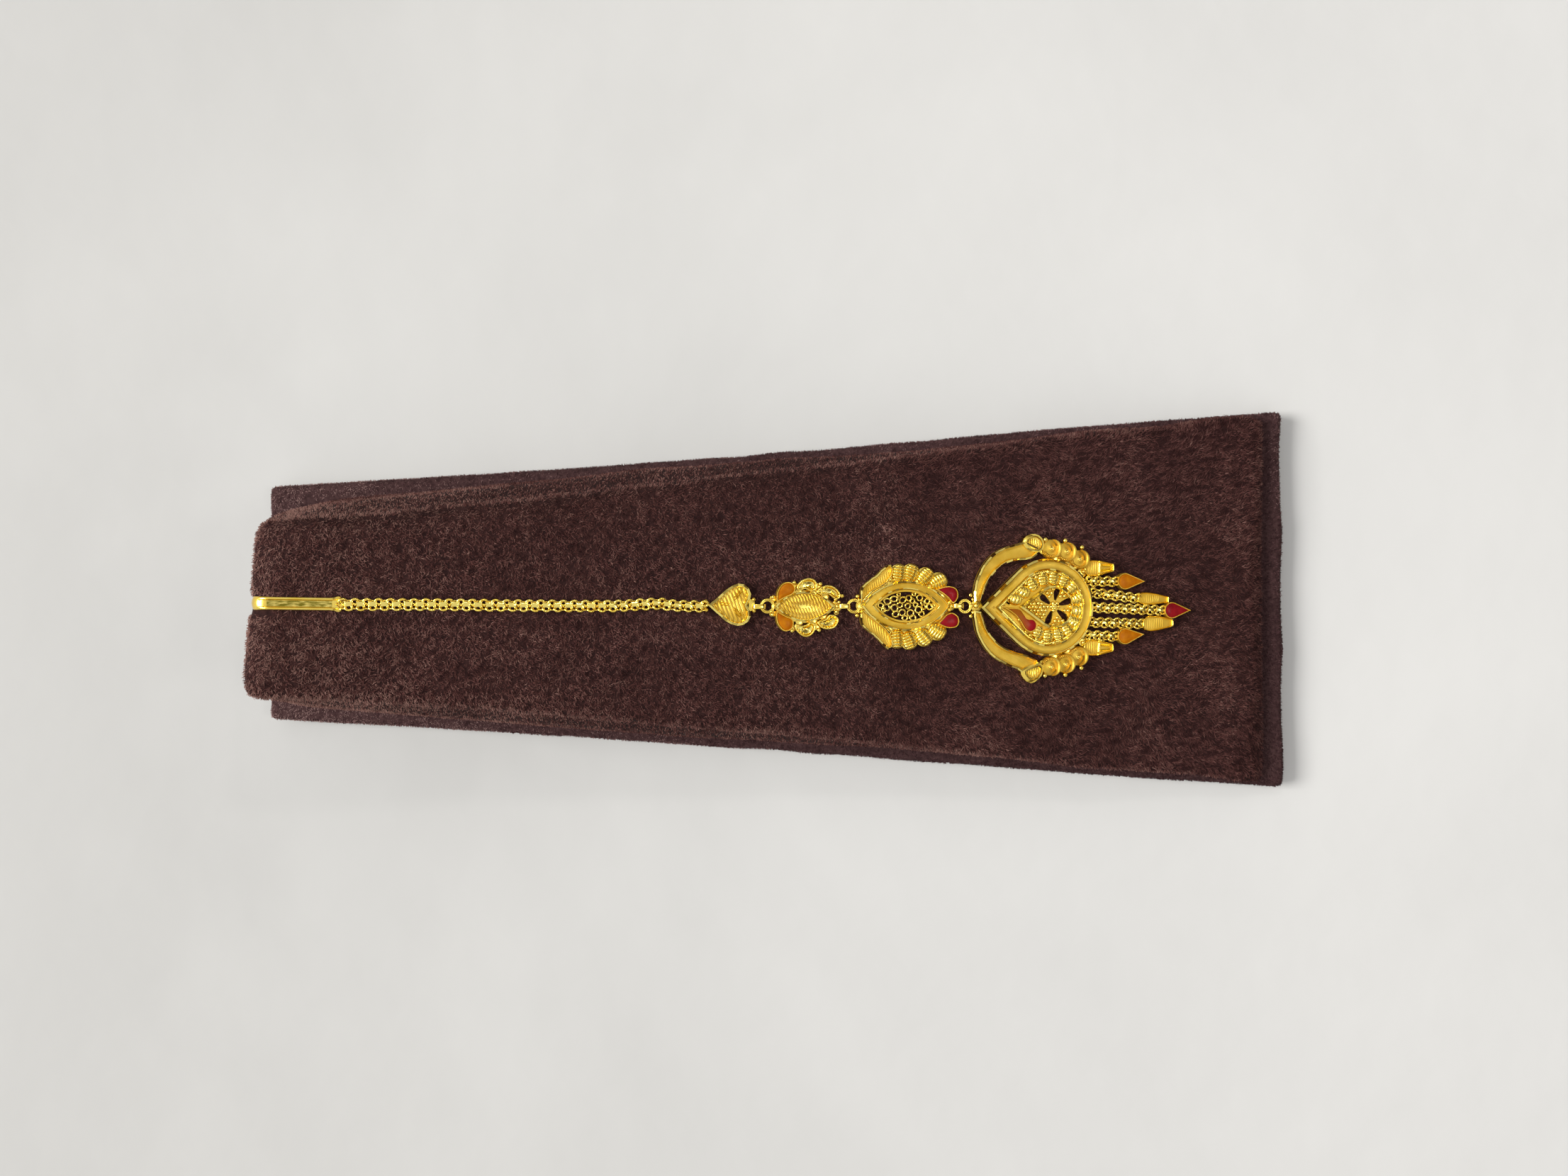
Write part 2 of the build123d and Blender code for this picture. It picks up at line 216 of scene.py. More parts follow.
# The room is bright overhead and towards the window, dim at its other walls and uneven, so that
# polished gold shows some dark beside its glints.  Straight on, and mirrored low down, it is pale.
world = bpy.data.worlds.new("room")
bpy.context.scene.world = world
world.use_nodes = True
room = Nodes(world.node_tree, "Background")
way_up = room.node("ShaderNodeTexCoord", {}, {}).outputs["Generated"]
apart = room.node("ShaderNodeSeparateXYZ", {}, {"Vector": way_up}).outputs
height = Value(room.tree, apart["Z"])
patches = room.node("ShaderNodeTexNoise", {}, {"Vector": way_up, "Scale": 2.4, "Detail": 2.0})
level = height - Value(room.tree, apart["X"]) * 0.3 + Value(room.tree, patches.outputs["Fac"]) * 1.5
lit = room.mix(level.between(1.17, 1.59), (0.11, 0.075, 0.045, 1), (0.74, 0.75, 0.77, 1))
path = room.node("ShaderNodeLightPath", {}, {}).outputs
backdrop = (0.74, 0.74, 0.72, 1)
low_down = height.between(0.32, 0.26) * Value(room.tree, path["Is Glossy Ray"])
seen = Value(room.tree, path["Is Camera Ray"]) + Value(room.tree, path["Is Transmission Ray"])
room.drive("Color", room.mix((low_down + seen).between(0.0, 1.0), lit, backdrop))

floor_board = Surface("pale_board", {"Roughness": 0.9, "Specular IOR Level": 0.2})
clouds = floor_board.grain(14.0, detail=4.0, roughness=0.55)
# The board's colour is painted paler towards +X, painted light that evens out the window lamp's fall-off; the
# clouds over it are random tone.
paler_with_painted_light = (floor_board.along_x() * 3.6 + clouds * 0.6 + 0.14).between(0.0, 1.0)
floor_board.drive("Base Color", floor_board.mix(paler_with_painted_light, (0.50, 0.497, 0.482, 1), (0.72, 0.717, 0.698, 1)))
floor_board.bump(floor_board.grain(30.0, detail=5.0), 0.25, 0.002)
deselect()
bpy.ops.mesh.primitive_plane_add(size=3.0, location=(0, 0, -0.05 * MM))
floor = bpy.context.object
floor.name = "floor"
floor.data.materials.append(floor_board.material)


# Hook.  A flat gold strip lies on the ramp, bends over its high edge and runs down the back wall.
# Its two edges are rolled up round, the trough between them is scratched and tarnished, and at
# the chain's end the rolled edges flare and curl round a notch.

# All gold is drawn in millimetres on the ramp's face, as along, across and lift: along runs down
# the slope, and lift is the height above it.  FACE lays it on the ramp.
SLOPE, FACE_Z = math.radians(12.25), 23.4
FACE = Matrix.Scale(MM, 4) @ Matrix((
    (math.cos(SLOPE), 0, math.sin(SLOPE), 0),
    (0, 1, 0, 0),
    (-math.sin(SLOPE), 0, math.cos(SLOPE), FACE_Z),
    (0, 0, 0, 1),
))
BED, SHEET_TOP = 0.2, 0.75
# Sections of bars, as points to the side and up.
HALF_ROUND = [(-1, 0), (-0.92, 0.5), (-0.6, 0.86), (0, 1), (0.6, 0.86), (0.92, 0.5), (1, 0)]
ROUND = [(math.sin(a), 0.5 - 0.5 * math.cos(a)) for a in np.linspace(0, 2 * math.pi, 9)[:-1]]

polished = Surface("gold_polished", {"Metallic": 1.0})
warmth = polished.grain(420.0, detail=3.0).between(0.35, 0.65)
polished.drive("Base Color", polished.mix(warmth, (0.93, 0.64, 0.095, 1), (0.97, 0.735, 0.16, 1)))
polished.drive("Roughness", polished.grain(900.0, detail=2.0).between(0.2, 0.8) * 0.12 + 0.15)
polished.bump(polished.grain(2600.0, detail=3.0), 0.25, 0.00002)


def points_of(piece):
    """The piece's points as an array."""
    places = np.empty(len(piece.data.vertices) * 3)
    piece.data.vertices.foreach_get("co", places)
    return places.reshape(-1, 3)


def put_points(piece, places):
    """Move the piece's points, given in their own order."""
    piece.data.vertices.foreach_set("co", np.asarray(places, float).ravel())
    piece.data.update()


def edit(piece):
    """Start editing one piece with all of it selected."""
    deselect()
    piece.select_set(True)
    bpy.context.view_layer.objects.active = piece
    bpy.ops.object.mode_set(mode="EDIT")
    bpy.ops.mesh.select_all(action="SELECT")


def close_up(piece):
    """Weld touching points, fill open ends and point the faces outwards."""
    edit(piece)
    bpy.ops.mesh.remove_doubles(threshold=0.0005)
    bpy.ops.mesh.select_all(action="DESELECT")
    bpy.ops.mesh.select_mode(type="EDGE")
    bpy.ops.mesh.select_non_manifold(extend=False)
    bpy.ops.mesh.edge_face_add()
    bpy.ops.mesh.select_mode(type="VERT")
    bpy.ops.mesh.select_all(action="SELECT")
    bpy.ops.mesh.normals_make_consistent(inside=False)
    bpy.ops.object.mode_set(mode="OBJECT")
    return piece


def skin(rows):
    """A sheet of faces moved onto rows of points; where rows or ends meet, it is welded."""
    rows = np.asarray(rows, float)
    deselect()
    bpy.ops.mesh.primitive_grid_add(x_subdivisions=rows.shape[1] - 1, y_subdivisions=rows.shape[0] - 1)
    piece = bpy.context.object
    put_points(piece, rows)
    return piece


def unit(vectors):
    """Vectors at length one."""
    return vectors / np.maximum(np.linalg.norm(vectors, axis=-1, keepdims=True), 1e-9)


def sides_of(line, closed):
    """For each point of a line, the way to its left, mitred at the corners."""
    line = np.asarray(line, float)
    if closed:
        into, out = line - np.roll(line, 1, 0), np.roll(line, -1, 0) - line
    else:
        runs = np.diff(line, axis=0)
        into, out = np.vstack([runs[:1], runs]), np.vstack([runs, runs[-1:]])
    into, out = unit(into), unit(out)
    left = np.stack([-into[:, 1], into[:, 0]], 1)
    way = unit(into + out)
    side = np.stack([-way[:, 1], way[:, 0]], 1)
    return side / np.maximum((side * left).sum(1, keepdims=True), 0.35)


def area_of(outline):
    """The area inside a closed outline, negative if it runs clockwise."""
    ahead = np.roll(outline, -1, 0)
    return 0.5 * np.sum(outline[:, 0] * ahead[:, 1] - ahead[:, 0] * outline[:, 1])


def moulding(line, half_width, height, section, foot=SHEET_TOP, closed=False, cut=0.0):
    """A bar of one section run along a line.

    A section point is (side, up): side 1 is the half width, up 1 the height; on a closed line
    side -1 is the outer one.  Cut files each run's outer shoulder down by its own share of the
    height, so that the facets catch the light in turn.
    """
    line = np.asarray(line, float)
    count = len(line)
    half, tall, low = (np.broadcast_to(np.asarray(size, float), count) for size in (half_width, height, foot))
    sides = sides_of(line, closed) * (np.sign(area_of(line)) if closed else 1)
    runs = np.arange(count if closed else count - 1)
    if cut:
        picked = np.stack([runs, (runs + 1) % count], 1).ravel()
        filed = np.repeat(cut * deal.choice([0.05, 0.3, 0.6, 1.0], len(runs)), 2)
        moved = np.repeat(cut * deal.uniform(-0.3, 0.3, len(runs)), 2)
    else:
        picked = np.arange(count + 1) % count if closed else np.arange(count)
        filed = moved = np.zeros(len(picked))
    section = np.asarray(section, float)
    shoulder = (section[:, 0] < -0.9) & (section[:, 1] > 0.3)
    crest = section[:, 1] > 0.9
    side = section[:, 0] + moved[:, None] * crest
    up = section[:, 1] - filed[:, None] * shoulder
    rows = np.empty((len(picked), len(section), 3))
    rows[..., :2] = line[picked, None] + sides[picked, None] * (side * half[picked, None])[..., None]
    rows[..., 2] = low[picked, None] + tall[picked, None] * up
    rows = np.concatenate([rows, rows[:, :1]], 1)
    if closed and cut:
        rows = np.concatenate([rows, rows[:1]], 0)
    return close_up(skin(rows))


def sheet(outline, foot=BED, top=SHEET_TOP, edge=0.07):
    """A flat piece sawn to an outline, with its upper edge softened."""
    deselect()
    bpy.ops.mesh.primitive_circle_add(vertices=len(outline), fill_type="NGON")
    piece = bpy.context.object
    put_points(piece, [(along, across, foot) for along, across in outline])
    edit(piece)
    bpy.ops.mesh.extrude_region_move(TRANSFORM_OT_translate={"value": (0, 0, top - foot)})
    bpy.ops.mesh.region_to_loop()
    bpy.ops.mesh.bevel(offset=edge, segments=2, affect="EDGES")
    bpy.ops.mesh.select_all(action="SELECT")
    bpy.ops.mesh.normals_make_consistent(inside=False)
    bpy.ops.object.mode_set(mode="OBJECT")
    return piece


def scatter(model, places):
    """Many copies of a model as one mesh, each put in its place by a matrix; the model goes."""
    corners = points_of(model)
    faces = [tuple(face.vertices) for face in model.data.polygons]
    step = len(corners)
    moved = [corners @ place[:3, :3].T + place[:3, 3] for place in places]
    starts = [number * step for number in range(len(places))]
    copied = [tuple(corner + start for corner in face) for start in starts for face in faces]
    bpy.data.objects.remove(model)
    mesh = bpy.data.meshes.new("copies")
    mesh.from_pydata(np.concatenate(moved).tolist(), [], copied)
    piece = bpy.data.objects.new("copies", mesh)
    bpy.context.scene.collection.objects.link(piece)
    return piece


def placed(along, across, lift, turn=0.0, stretch=(1, 1, 1)):
    """The matrix that turns, stretches and moves a model."""
    moved = Matrix.Translation((along, across, lift)) @ Matrix.Rotation(math.radians(turn), 4, "Z")
    return np.array(moved @ Matrix.Diagonal((*stretch, 1)))


def rods(lines, width, height, foot, section=HALF_ROUND, taper=0.35):
    """Straight half-round ribs, one for each (start, end)."""
    span = np.array([0.0, 0.12, 0.88, 1.0])
    full = np.array([taper, 1, 1, taper])
    model = moulding(np.column_stack([span, 0 * span]), full / 2, full, section, 0.0)
    places = []
    for start, end in lines:
        run = np.subtract(end, start)
        turn = math.degrees(math.atan2(run[1], run[0]))
        places.append(placed(*start, foot, turn, (np.hypot(*run), width, height)))
    return scatter(model, places)


def evenly(line, count, closed=False):
    """The same line with evenly spaced points."""
    line = np.asarray(line, float)
    reach = np.concatenate([[0], np.cumsum(np.linalg.norm(np.diff(line, axis=0), axis=1))])
    wanted = np.linspace(0, reach[-1], count, endpoint=not closed)
    return np.column_stack([np.interp(wanted, reach, line[:, axis]) for axis in range(line.shape[1])])


def flowing(points, count, closed=False):
    """An even line that flows through a few points."""
    points = np.asarray(points, float)
    if closed:
        knots = np.vstack([points[-1:], points, points[:2]])
    else:
        knots = np.vstack([2 * points[0] - points[1], points, 2 * points[-1] - points[-2]])
    fine = []
    for a, b, c, d in zip(knots, knots[1:], knots[2:], knots[3:]):
        t = np.linspace(0, 1, 24, endpoint=False)[:, None]
        fine.append(b + 0.5 * t * (c - a + t * (2 * a - 5 * b + 4 * c - d + t * (3 * (b - c) + d - a))))
    return evenly(np.vstack(fine + [knots[-2:-1]]), count, closed)


def clad(piece, surface, smooth=38):
    """Give a piece its finish, and shade it smooth except across edges sharper than an angle."""
    piece.data.materials.clear()
    piece.data.materials.append(surface.material)
    deselect()
    piece.select_set(True)
    bpy.context.view_layer.objects.active = piece
    if smooth:
        bpy.ops.object.shade_smooth_by_angle(angle=math.radians(smooth))
    else:
        bpy.ops.object.shade_flat()
    return piece


def made(name, parts, slot="gold", stands_for=(), laid=True):
    """Join a piece's parts, lay it on the ramp, and tell the frame what it is."""
    deselect()
    for part in parts:
        part.select_set(True)
    piece = parts[0]
    bpy.context.view_layer.objects.active = piece
    if len(parts) > 1:
        bpy.ops.object.join()
    piece.name = name
    piece.data.name = name
    piece.data.transform(FACE if laid else Matrix.Scale(MM, 4))
    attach(piece, "root")
    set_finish(piece, slot)
    if stands_for:
        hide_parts(*stands_for)
    return piece


# The hook's line in X and Z: along the face, round the bend over the edge and down the wall.
BACK_LEAN, WALL_X, FOOT_Z = math.radians(14.7), -76.6, 4.2
HOOK_LIFT, BEND, BACK_REACH = 0.36, 2.6, 15.0
ridge_x = (WALL_X + (FACE_Z - FOOT_Z) * math.tan(BACK_LEAN)) / (1 + math.tan(SLOPE) * math.tan(BACK_LEAN))
ridge = np.array([ridge_x, FACE_Z - ridge_x * math.tan(SLOPE)])
face_way, face_out = np.array([[math.cos(SLOPE), -math.sin(SLOPE)], [math.sin(SLOPE), math.cos(SLOPE)]])
wall_way = np.array([-math.sin(BACK_LEAN), -math.cos(BACK_LEAN)])
wall_out = np.array([-math.cos(BACK_LEAN), math.sin(BACK_LEAN)])
corner = ridge + (face_out + wall_out) * HOOK_LIFT / (1 + face_out @ wall_out)
reach = BEND * math.tan(math.acos(face_out @ wall_out) / 2)
centre = corner + face_way * reach - face_out * BEND
first, last = (math.atan2(*way[::-1]) for way in (face_out, wall_out))
start = np.array([0, FACE_Z]) + face_out * HOOK_LIFT
hook_line = [start + face_way * at for at in np.linspace(-59.0, -66.9, 24)]
hook_line += [centre + BEND * np.array([math.cos(a), math.sin(a)]) for a in np.linspace(first, last, 14)]
hook_line += [corner + wall_way * at for at in np.linspace(reach + 0.6, BACK_REACH, 12)]
hook_line = np.array(hook_line)
hook_out = unit(np.gradient(hook_line, axis=0)) @ np.array([[0, -1], [1, 0]])
hook_out *= np.sign((hook_out * np.array([[0.2, 1.0]])).sum(1).mean())


def along_hook(section, first, last, flared=False):
    """A strip along part of the hook; its section flattens past the bend and ends in a tongue."""
    rows = []
    for number in range(first, last):
        trough = np.interp(number, (0, 25, 31), (1.0, 1.0, 0.0))
        tongue = math.sqrt(max(1 - ((number - 45) / 4.2) ** 2, 0.1)) if number > 45 else 1.0
        flare = 1.0 + 0.16 * max(1 - number / 2.6, 0.0) ** 1.3 if flared else 1.0
        across = -0.30 + 0.16 * min(number / 26, 1.0)
        row = []
        for side, up in section:
            level = up if up < -0.1 else up * trough + (0.36 - 0.22 * side * side) * (1 - trough)
            place = hook_line[number] + hook_out[number] * level
            row.append((place[0], across + 0.86 * side * tongue * flare, place[1]))
        rows.append(row + row[:1])
    return close_up(skin(rows))


trough = [(-1, -0.22), (-1.0, 0.08), (-0.95, 0.24), (-0.84, 0.31), (-0.66, 0.31), (-0.55, 0.2), (-0.47, 0.04)]
trough += [(-0.15, 0.02), (0.15, 0.02)] + [(-side, up) for side, up in trough[::-1]]
worn = Surface("gold_worn", {"Metallic": 1.0})
scratches = worn.grain(2600.0, detail=5.0, stretch=(0.35, 1.8, 1.0))
rubbed = scratches.between(0.43, 0.70)
worn.drive("Base Color", worn.mix(rubbed, (0.24, 0.19, 0.02, 1), (0.93, 0.73, 0.20, 1)))
worn.drive("Roughness", scratches * 0.3 + 0.14)
worn.bump(scratches, 0.9, 0.00005)
strip = clad(along_hook(trough, 0, len(hook_line), True), polished, 40)
floor_section = [(-0.47, -0.1), (-0.43, 0.06), (0.43, 0.06), (0.47, -0.1)]
made("hook_strip", [strip, clad(along_hook(floor_section, 0, 27), worn, 30)], stands_for=["hook"], laid=False)
EDGE = np.array([(-59.6, 0.7), (-59.15, 0.8), (-58.8, 0.86), (-58.6, 0.72), (-58.68, 0.56)])
FLARE = (0.08, 0.12, 0.15, 0.17, 0.19, 0.2, 0.21, 0.21, 0.2, 0.18, 0.15, 0.08)
curls = []
for side in (1, -1):
    curls.append(moulding(flowing(EDGE * (1, side) - (0, 0.3), 12), FLARE, 0.4, ROUND, 0.42))
notch_bars = [((-58.7, 0.2), (-59.2, -0.3)), ((-58.7, -0.8), (-59.2, -0.3)), ((-58.7, -0.3), (-58.0, -0.32))]
notch = rods(notch_bars, 0.22, 0.24, 0.5)
tongue = [(-59.7, 0.4), (-58.7, 0.42), (-58.2, -0.1), (-58.2, -0.5), (-58.7, -1.02), (-59.7, -1.0)]
made("hook_collar", [clad(part, polished) for part in [sheet(tongue, BED, 0.52), notch] + curls])


# Chains.  A woven chain two links wide: round wire links lie in two rows, half a pitch apart, and
# a flat plate with hollow sides joins them at each lower link.  Between the plates the inner links
# show as small balls.  The same weave makes the long chain and the five short ones.
def ring(along, across, lift, radius, wire, around=28, stretch=(1, 1, 1), sides=10):
    """A round wire ring lying flat."""
    deselect()
    bpy.ops.mesh.primitive_torus_add(
        major_segments=around, minor_segments=sides, major_radius=radius, minor_radius=wire, align="WORLD"
    )
    piece = bpy.context.object
    put_points(piece, points_of(piece) * stretch + (along, across, lift))
    return piece


def granules(places, radius=0.33, lift=None):
    """Small balls soldered on; each place may give its own radius."""
    deselect()
    bpy.ops.mesh.primitive_ico_sphere_add(subdivisions=2, radius=1.0)
    sizes = [place[2] if len(place) > 2 else radius for place in places]
    lifts = [lift if lift is not None else BED + size for size in sizes]
    spots = [placed(*place[:2], up, 0, (size,) * 3) for place, up, size in zip(places, lifts, sizes)]
    return scatter(bpy.context.object, spots)


WEAVE_LIFT, FULL_HALF = 0.85, 0.98
WEAVE_PLATE = [(-0.6, 0.46), (-0.27, 0.35), (0.27, 0.35), (0.6, 0.46), (0.46, 0.06), (0.58, -0.38)]
WEAVE_PLATE += [(0.26, -0.28), (-0.26, -0.28), (-0.58, -0.38), (-0.46, 0.06)]
bright = Surface("gold_bright_cut", {"Base Color": (0.97, 0.765, 0.19, 1), "Metallic": 1.0})
bright.drive("Roughness", bright.grain(1500.0, detail=1.0).between(0.2, 0.8) * 0.08 + 0.12)
bright.bump(bright.grain(600.0, detail=2.0), 0.2, 0.00005)


def woven_chain(name, node, route, half=FULL_HALF, pitch=1.5):
    """Links and plates repeated along a route; half is half of the chain's width."""
    length = np.linalg.norm(np.diff(flowing(route, 200), axis=0), axis=1).sum()
    count = max(int(round(length / pitch)), 2)
    steps = 12
    fine = flowing(route, steps * count + 1)
    way = np.unwrap(np.arctan2(*np.gradient(fine, axis=0).T[::-1]))
    scale = half / FULL_HALF
    # What is repeated, its first step in the pitch, its place across and up, its tilt and finish.
    models = (
        (lambda: ring(0, 0, 0, 0.37, 0.185, 16, (1.2, 1.0, 1.0), 8), 0, 0.38, 0.0, 24, polished, 60),
        (lambda: ring(0, 0, 0, 0.35, 0.18, 16, (1.24, 1.0, 1.0), 8), 6, -0.43, -0.04, -24, polished, 60),
        (lambda: sheet(WEAVE_PLATE, -0.16, 0.12, 0.05), 6, 0.03, 0.22, 0, bright, 30),
        (lambda: granules([(0, 0, 0.22)], lift=0), 0, -0.06, -0.16, 0, polished, 60),
        (lambda: rods([((-0.36, 0), (0.36, 0))], 0.26, 0.26, -0.1), 0, -0.56, -0.02, 0, polished, 60),
        (lambda: rods([((-0.3, 0), (0.3, 0))], 0.22, 0.22, -0.1), 6, 0.52, -0.02, 0, polished, 60),
    )
    parts = []
    for model, first, offset, lift, tilt, gold, smooth in models:
        places = []
        for at in range(first, len(fine), steps):
            turn = way[at] + math.radians(deal.uniform(-4, 4))
            spot = fine[at] + offset * scale * np.array([-math.sin(turn), math.cos(turn)])
            place = Matrix.Translation((*spot, WEAVE_LIFT + lift)) @ Matrix.Rotation(turn, 4, "Z")
            place @= Matrix.Rotation(math.radians(tilt + deal.uniform(-6, 6)), 4, "X")
            place @= Matrix.Rotation(math.radians(deal.uniform(-6, 6)), 4, "Y")
            place @= Matrix.Diagonal((scale, scale, scale, 1))
            places.append(np.array(place))
        parts.append(clad(scatter(model(), places), gold, smooth))
    made(name, parts, stands_for=[node])


route = [(-58.3, -0.33), (-47.0, -0.38), (-34.0, -0.56), (-23.5, -0.64), (-19.0, -0.42), (-16.6, -0.34)]
woven_chain("main_chain_links", "main_chain", route + [(-14.4, -0.62), (-10.3, -0.75)])


# Heart.  A small pressed plate: ribbed like cord, with three bright cuts, inside a rim whose edges
# are cut to facets.  A folded strip loop behind it, flanked by two beads, takes the next ring.
CUT = [(-1, 0), (-1, 0.95), (0.25, 1), (0.6, 0.97), (1, 0.7), (1, 0)]
KNIFE = [(-1, 0), (-0.8, 0.35), (0, 1), (0.8, 0.35), (1, 0)]
matte = Surface("gold_matte", {"Metallic": 1.0})
warmth = matte.grain(420.0, detail=3.0).between(0.35, 0.65)
matte.drive("Base Color", matte.mix(warmth, (0.70, 0.435, 0.045, 1), (0.86, 0.58, 0.088, 1)))
matte.drive("Roughness", matte.grain(700.0, detail=3.0).between(0.25, 0.75) * 0.14 + 0.42)
matte.bump(matte.grain(7000.0, detail=3.0), 0.6, 0.00003)


def turned(line, degrees):
    """A line turned about the origin."""
    c, s = math.cos(math.radians(degrees)), math.sin(math.radians(degrees))
    return np.asarray(line, float) @ np.array([[c, s], [-s, c]])


def shrunk(outline, amount):
    """A closed outline drawn in by an amount."""
    outline = np.asarray(outline, float)
    return outline + sides_of(outline, True) * amount * np.sign(area_of(outline))


def chords(outline, turn, pitch, inset=0.0, start=0.5):
    """Parallel lines across an outline, at an angle and a pitch."""
    flat = turned(outline, -turn)
    ends = np.roll(flat, -1, 0)
    lines = []
    level = flat[:, 1].min() + start * pitch
    while level < flat[:, 1].max():
        hit = (flat[:, 1] <= level) != (ends[:, 1] <= level)
        share = (level - flat[hit, 1]) / (ends[hit, 1] - flat[hit, 1])
        crossings = np.sort(flat[hit, 0] + share * (ends[hit, 0] - flat[hit, 0]))
        for near, far in zip(crossings[::2], crossings[1::2]):
            if far - near > 2 * inset + 0.1:
                lines.append(turned([(near + inset, level), (far - inset, level)], turn))
        level += pitch
    return lines


def plate(outline, foot=BED, top=SHEET_TOP, gold=polished):
    """Gold sheet sawn to an outline."""
    return clad(sheet(outline, foot, top), gold)


def rim(outline, inset, half_width, height, section, gold, smooth=40, foot=SHEET_TOP, cut=0.0):
    """A bar that runs round just inside an outline."""
    line = shrunk(outline, inset)
    return clad(moulding(line, half_width, height, section, foot, True, cut), gold, smooth)


def cut_rim(outline, inset, half_width, height, foot=SHEET_TOP, cut=0.45):
    """A rim whose outer shoulder is cut to bright facets."""
    return rim(outline, inset, half_width, height, CUT, bright, 0, foot, cut)


def ribs(lines, width, height, foot):
    """Sandblasted ribs, one along each line."""
    return clad(rods(lines, width, height, foot), matte, 60)


def cuts(lines, width, height, foot, taper=0.35):
    """Bright sharp ridges, one along each line, as the graver leaves them."""
    return clad(rods(lines, width, height, foot, KNIFE, taper), bright, 0)


def beads(places, radius=0.33, lift=None, gold=polished):
    """Granules soldered on."""
    return clad(granules(places, radius, lift), gold, 60)


def strip_loop(start, length, across):
    """A gold strip folded flat into a loop, seen on its edge from the side."""
    half, wall, radius = 0.325, 0.2, 0.55
    path = [(start + length - radius, angle) for angle in np.linspace(-90, 90, 9)]
    path += [(start + radius, angle) for angle in np.linspace(90, 270, 9)]
    rows = []
    for centre, angle in path + path[:1]:
        c, s = math.cos(math.radians(angle)), math.sin(math.radians(angle))
        row = []
        for side, out in ((-1, 0), (1, 0), (1, 0.9), (0.8, 1), (-0.8, 1), (-1, 0.9)):
            away = radius - wall + wall * out
            row.append((centre + away * c, across + side * half, BED + radius + away * s))
        rows.append(row + row[:1])
    return clad(close_up(skin(rows)), polished, 35)


tip, cleft = (-9.75, -0.6), (-4.3, -0.62)
upper_half = [tip, (-8.4, 0.55), (-7.0, 1.75), (-5.6, 2.44), (-4.3, 2.05), (-3.72, 0.75), cleft]
lower_half = [cleft, (-3.75, -1.8), (-4.3, -3.05), (-5.6, -3.5), (-7.0, -3.0), (-8.4, -1.85), tip]
outline = np.vstack([flowing(half, 12)[:-1] for half in (upper_half, lower_half)])
heart_rim = cut_rim(outline, 0.19, 0.21, 0.45, cut=0.4)
parts = [plate(outline), ribs(chords(shrunk(outline, 0.38), 111, 0.5), 0.46, 0.24, SHEET_TOP - 0.05)]
strokes = [((-8.2, -0.35), (-6.7, -0.5)), ((-6.1, 0.25), (-5.05, 1.5)), ((-6.2, -0.95), (-5.1, -2.3))]
lines = []
for start, end in strokes:
    way = unit(np.subtract(end, start).astype(float))
    for shift in (-0.15, 0.15):
        lines.append(np.array([start, end]) + shift * np.array([-way[1], way[0]]))
parts.append(cuts(lines, 0.2, 0.22, SHEET_TOP + 0.1, 0.1))
made("heart_plate", parts, stands_for=["heart_motif"])
made("heart_rim", [heart_rim])
heart_beads = [(-10.1, -0.05), (-10.05, -1.25), (-10.6, -0.3, 0.27), (-10.5, -1.0, 0.27)]
heart_beads += [(-10.15, -0.65, 0.3), (-3.25, 0.2), (-3.2, -1.39)]
neck = [(-4.0, -1.5), (-4.0, 0.3), (-3.1, 0.15), (-3.0, -1.3)]
made("heart_loop", [strip_loop(-3.5, 2.0, -0.8), beads(heart_beads), plate(neck)])


# Small link.  A pointed oval pressed with wavy ribs sits in a faceted rim.  Two orange cells and
# four curled leaves, two a side, are soldered round it, with beads between.
WALL = [(-1, 0), (-1, 0.9), (-0.6, 1), (0.6, 1), (1, 0.9), (1, 0)]


def bow(start, middle, end, count):
    """Points along the round arc through three points, without the last."""
    (ax, ay), (bx, by), (cx, cy) = start, middle, end
    spread = 2 * (ax * (by - cy) + bx * (cy - ay) + cx * (ay - by))
    a2, b2, c2 = ax * ax + ay * ay, bx * bx + by * by, cx * cx + cy * cy
    x = (a2 * (by - cy) + b2 * (cy - ay) + c2 * (ay - by)) / spread
    y = (a2 * (cx - bx) + b2 * (ax - cx) + c2 * (bx - ax)) / spread
    first, mid, last = (math.atan2(q - y, p - x) for p, q in (start, middle, end))
    sweep = (last - first) % (2 * math.pi)
    if (mid - first) % (2 * math.pi) > sweep:
        sweep -= 2 * math.pi
    angles = first + sweep * np.arange(count) / count
    radius = math.hypot(ax - x, ay - y)
    return np.column_stack([x + radius * np.cos(angles), y + radius * np.sin(angles)])


def oval(left, top, right, bottom, count):
    """A pointed oval from its two tips and its two widest points."""
    return np.vstack([bow(left, top, right, count // 2), bow(right, bottom, left, count // 2)])


def drop(radius, tip, count, place=(0, 0), turn=0.0):
    """A round end drawn out to a point by two straight lines; the point comes first."""
    touch = math.acos(radius / tip)
    angles = np.linspace(touch, 2 * math.pi - touch, count)
    line = np.vstack([[(tip, 0)], np.column_stack([radius * np.cos(angles), radius * np.sin(angles)])])
    return turned(line, turn) + place


def dome(outline, levels, centre, foot=BED):
    """A closed form raised on an outline; each level gives how far in it goes, and how high."""
    outline = np.asarray(outline, float)
    loop = np.vstack([outline, outline[:1]])
    rows = []
    for inward, lift in [(0.0, foot)] + list(levels):
        flat = loop + (np.asarray(centre, float) - loop) * inward
        rows.append(np.column_stack([flat, np.full(len(flat), lift)]))
    return close_up(skin(rows))


def jump_ring(along, across, lift=0.8):
    """The double wire ring at the head of a link."""
    wires = ((0.95, 0.155), (0.76, 0.13))
    return [clad(ring(along, across, lift, radius, wire, 32), polished, 60) for radius, wire in wires]


def tipped(points, count):
    """A closed outline that flows from a sharp tip, the first point, round and back to it."""
    return flowing(list(points) + [points[0]], count + 1)[:-1]


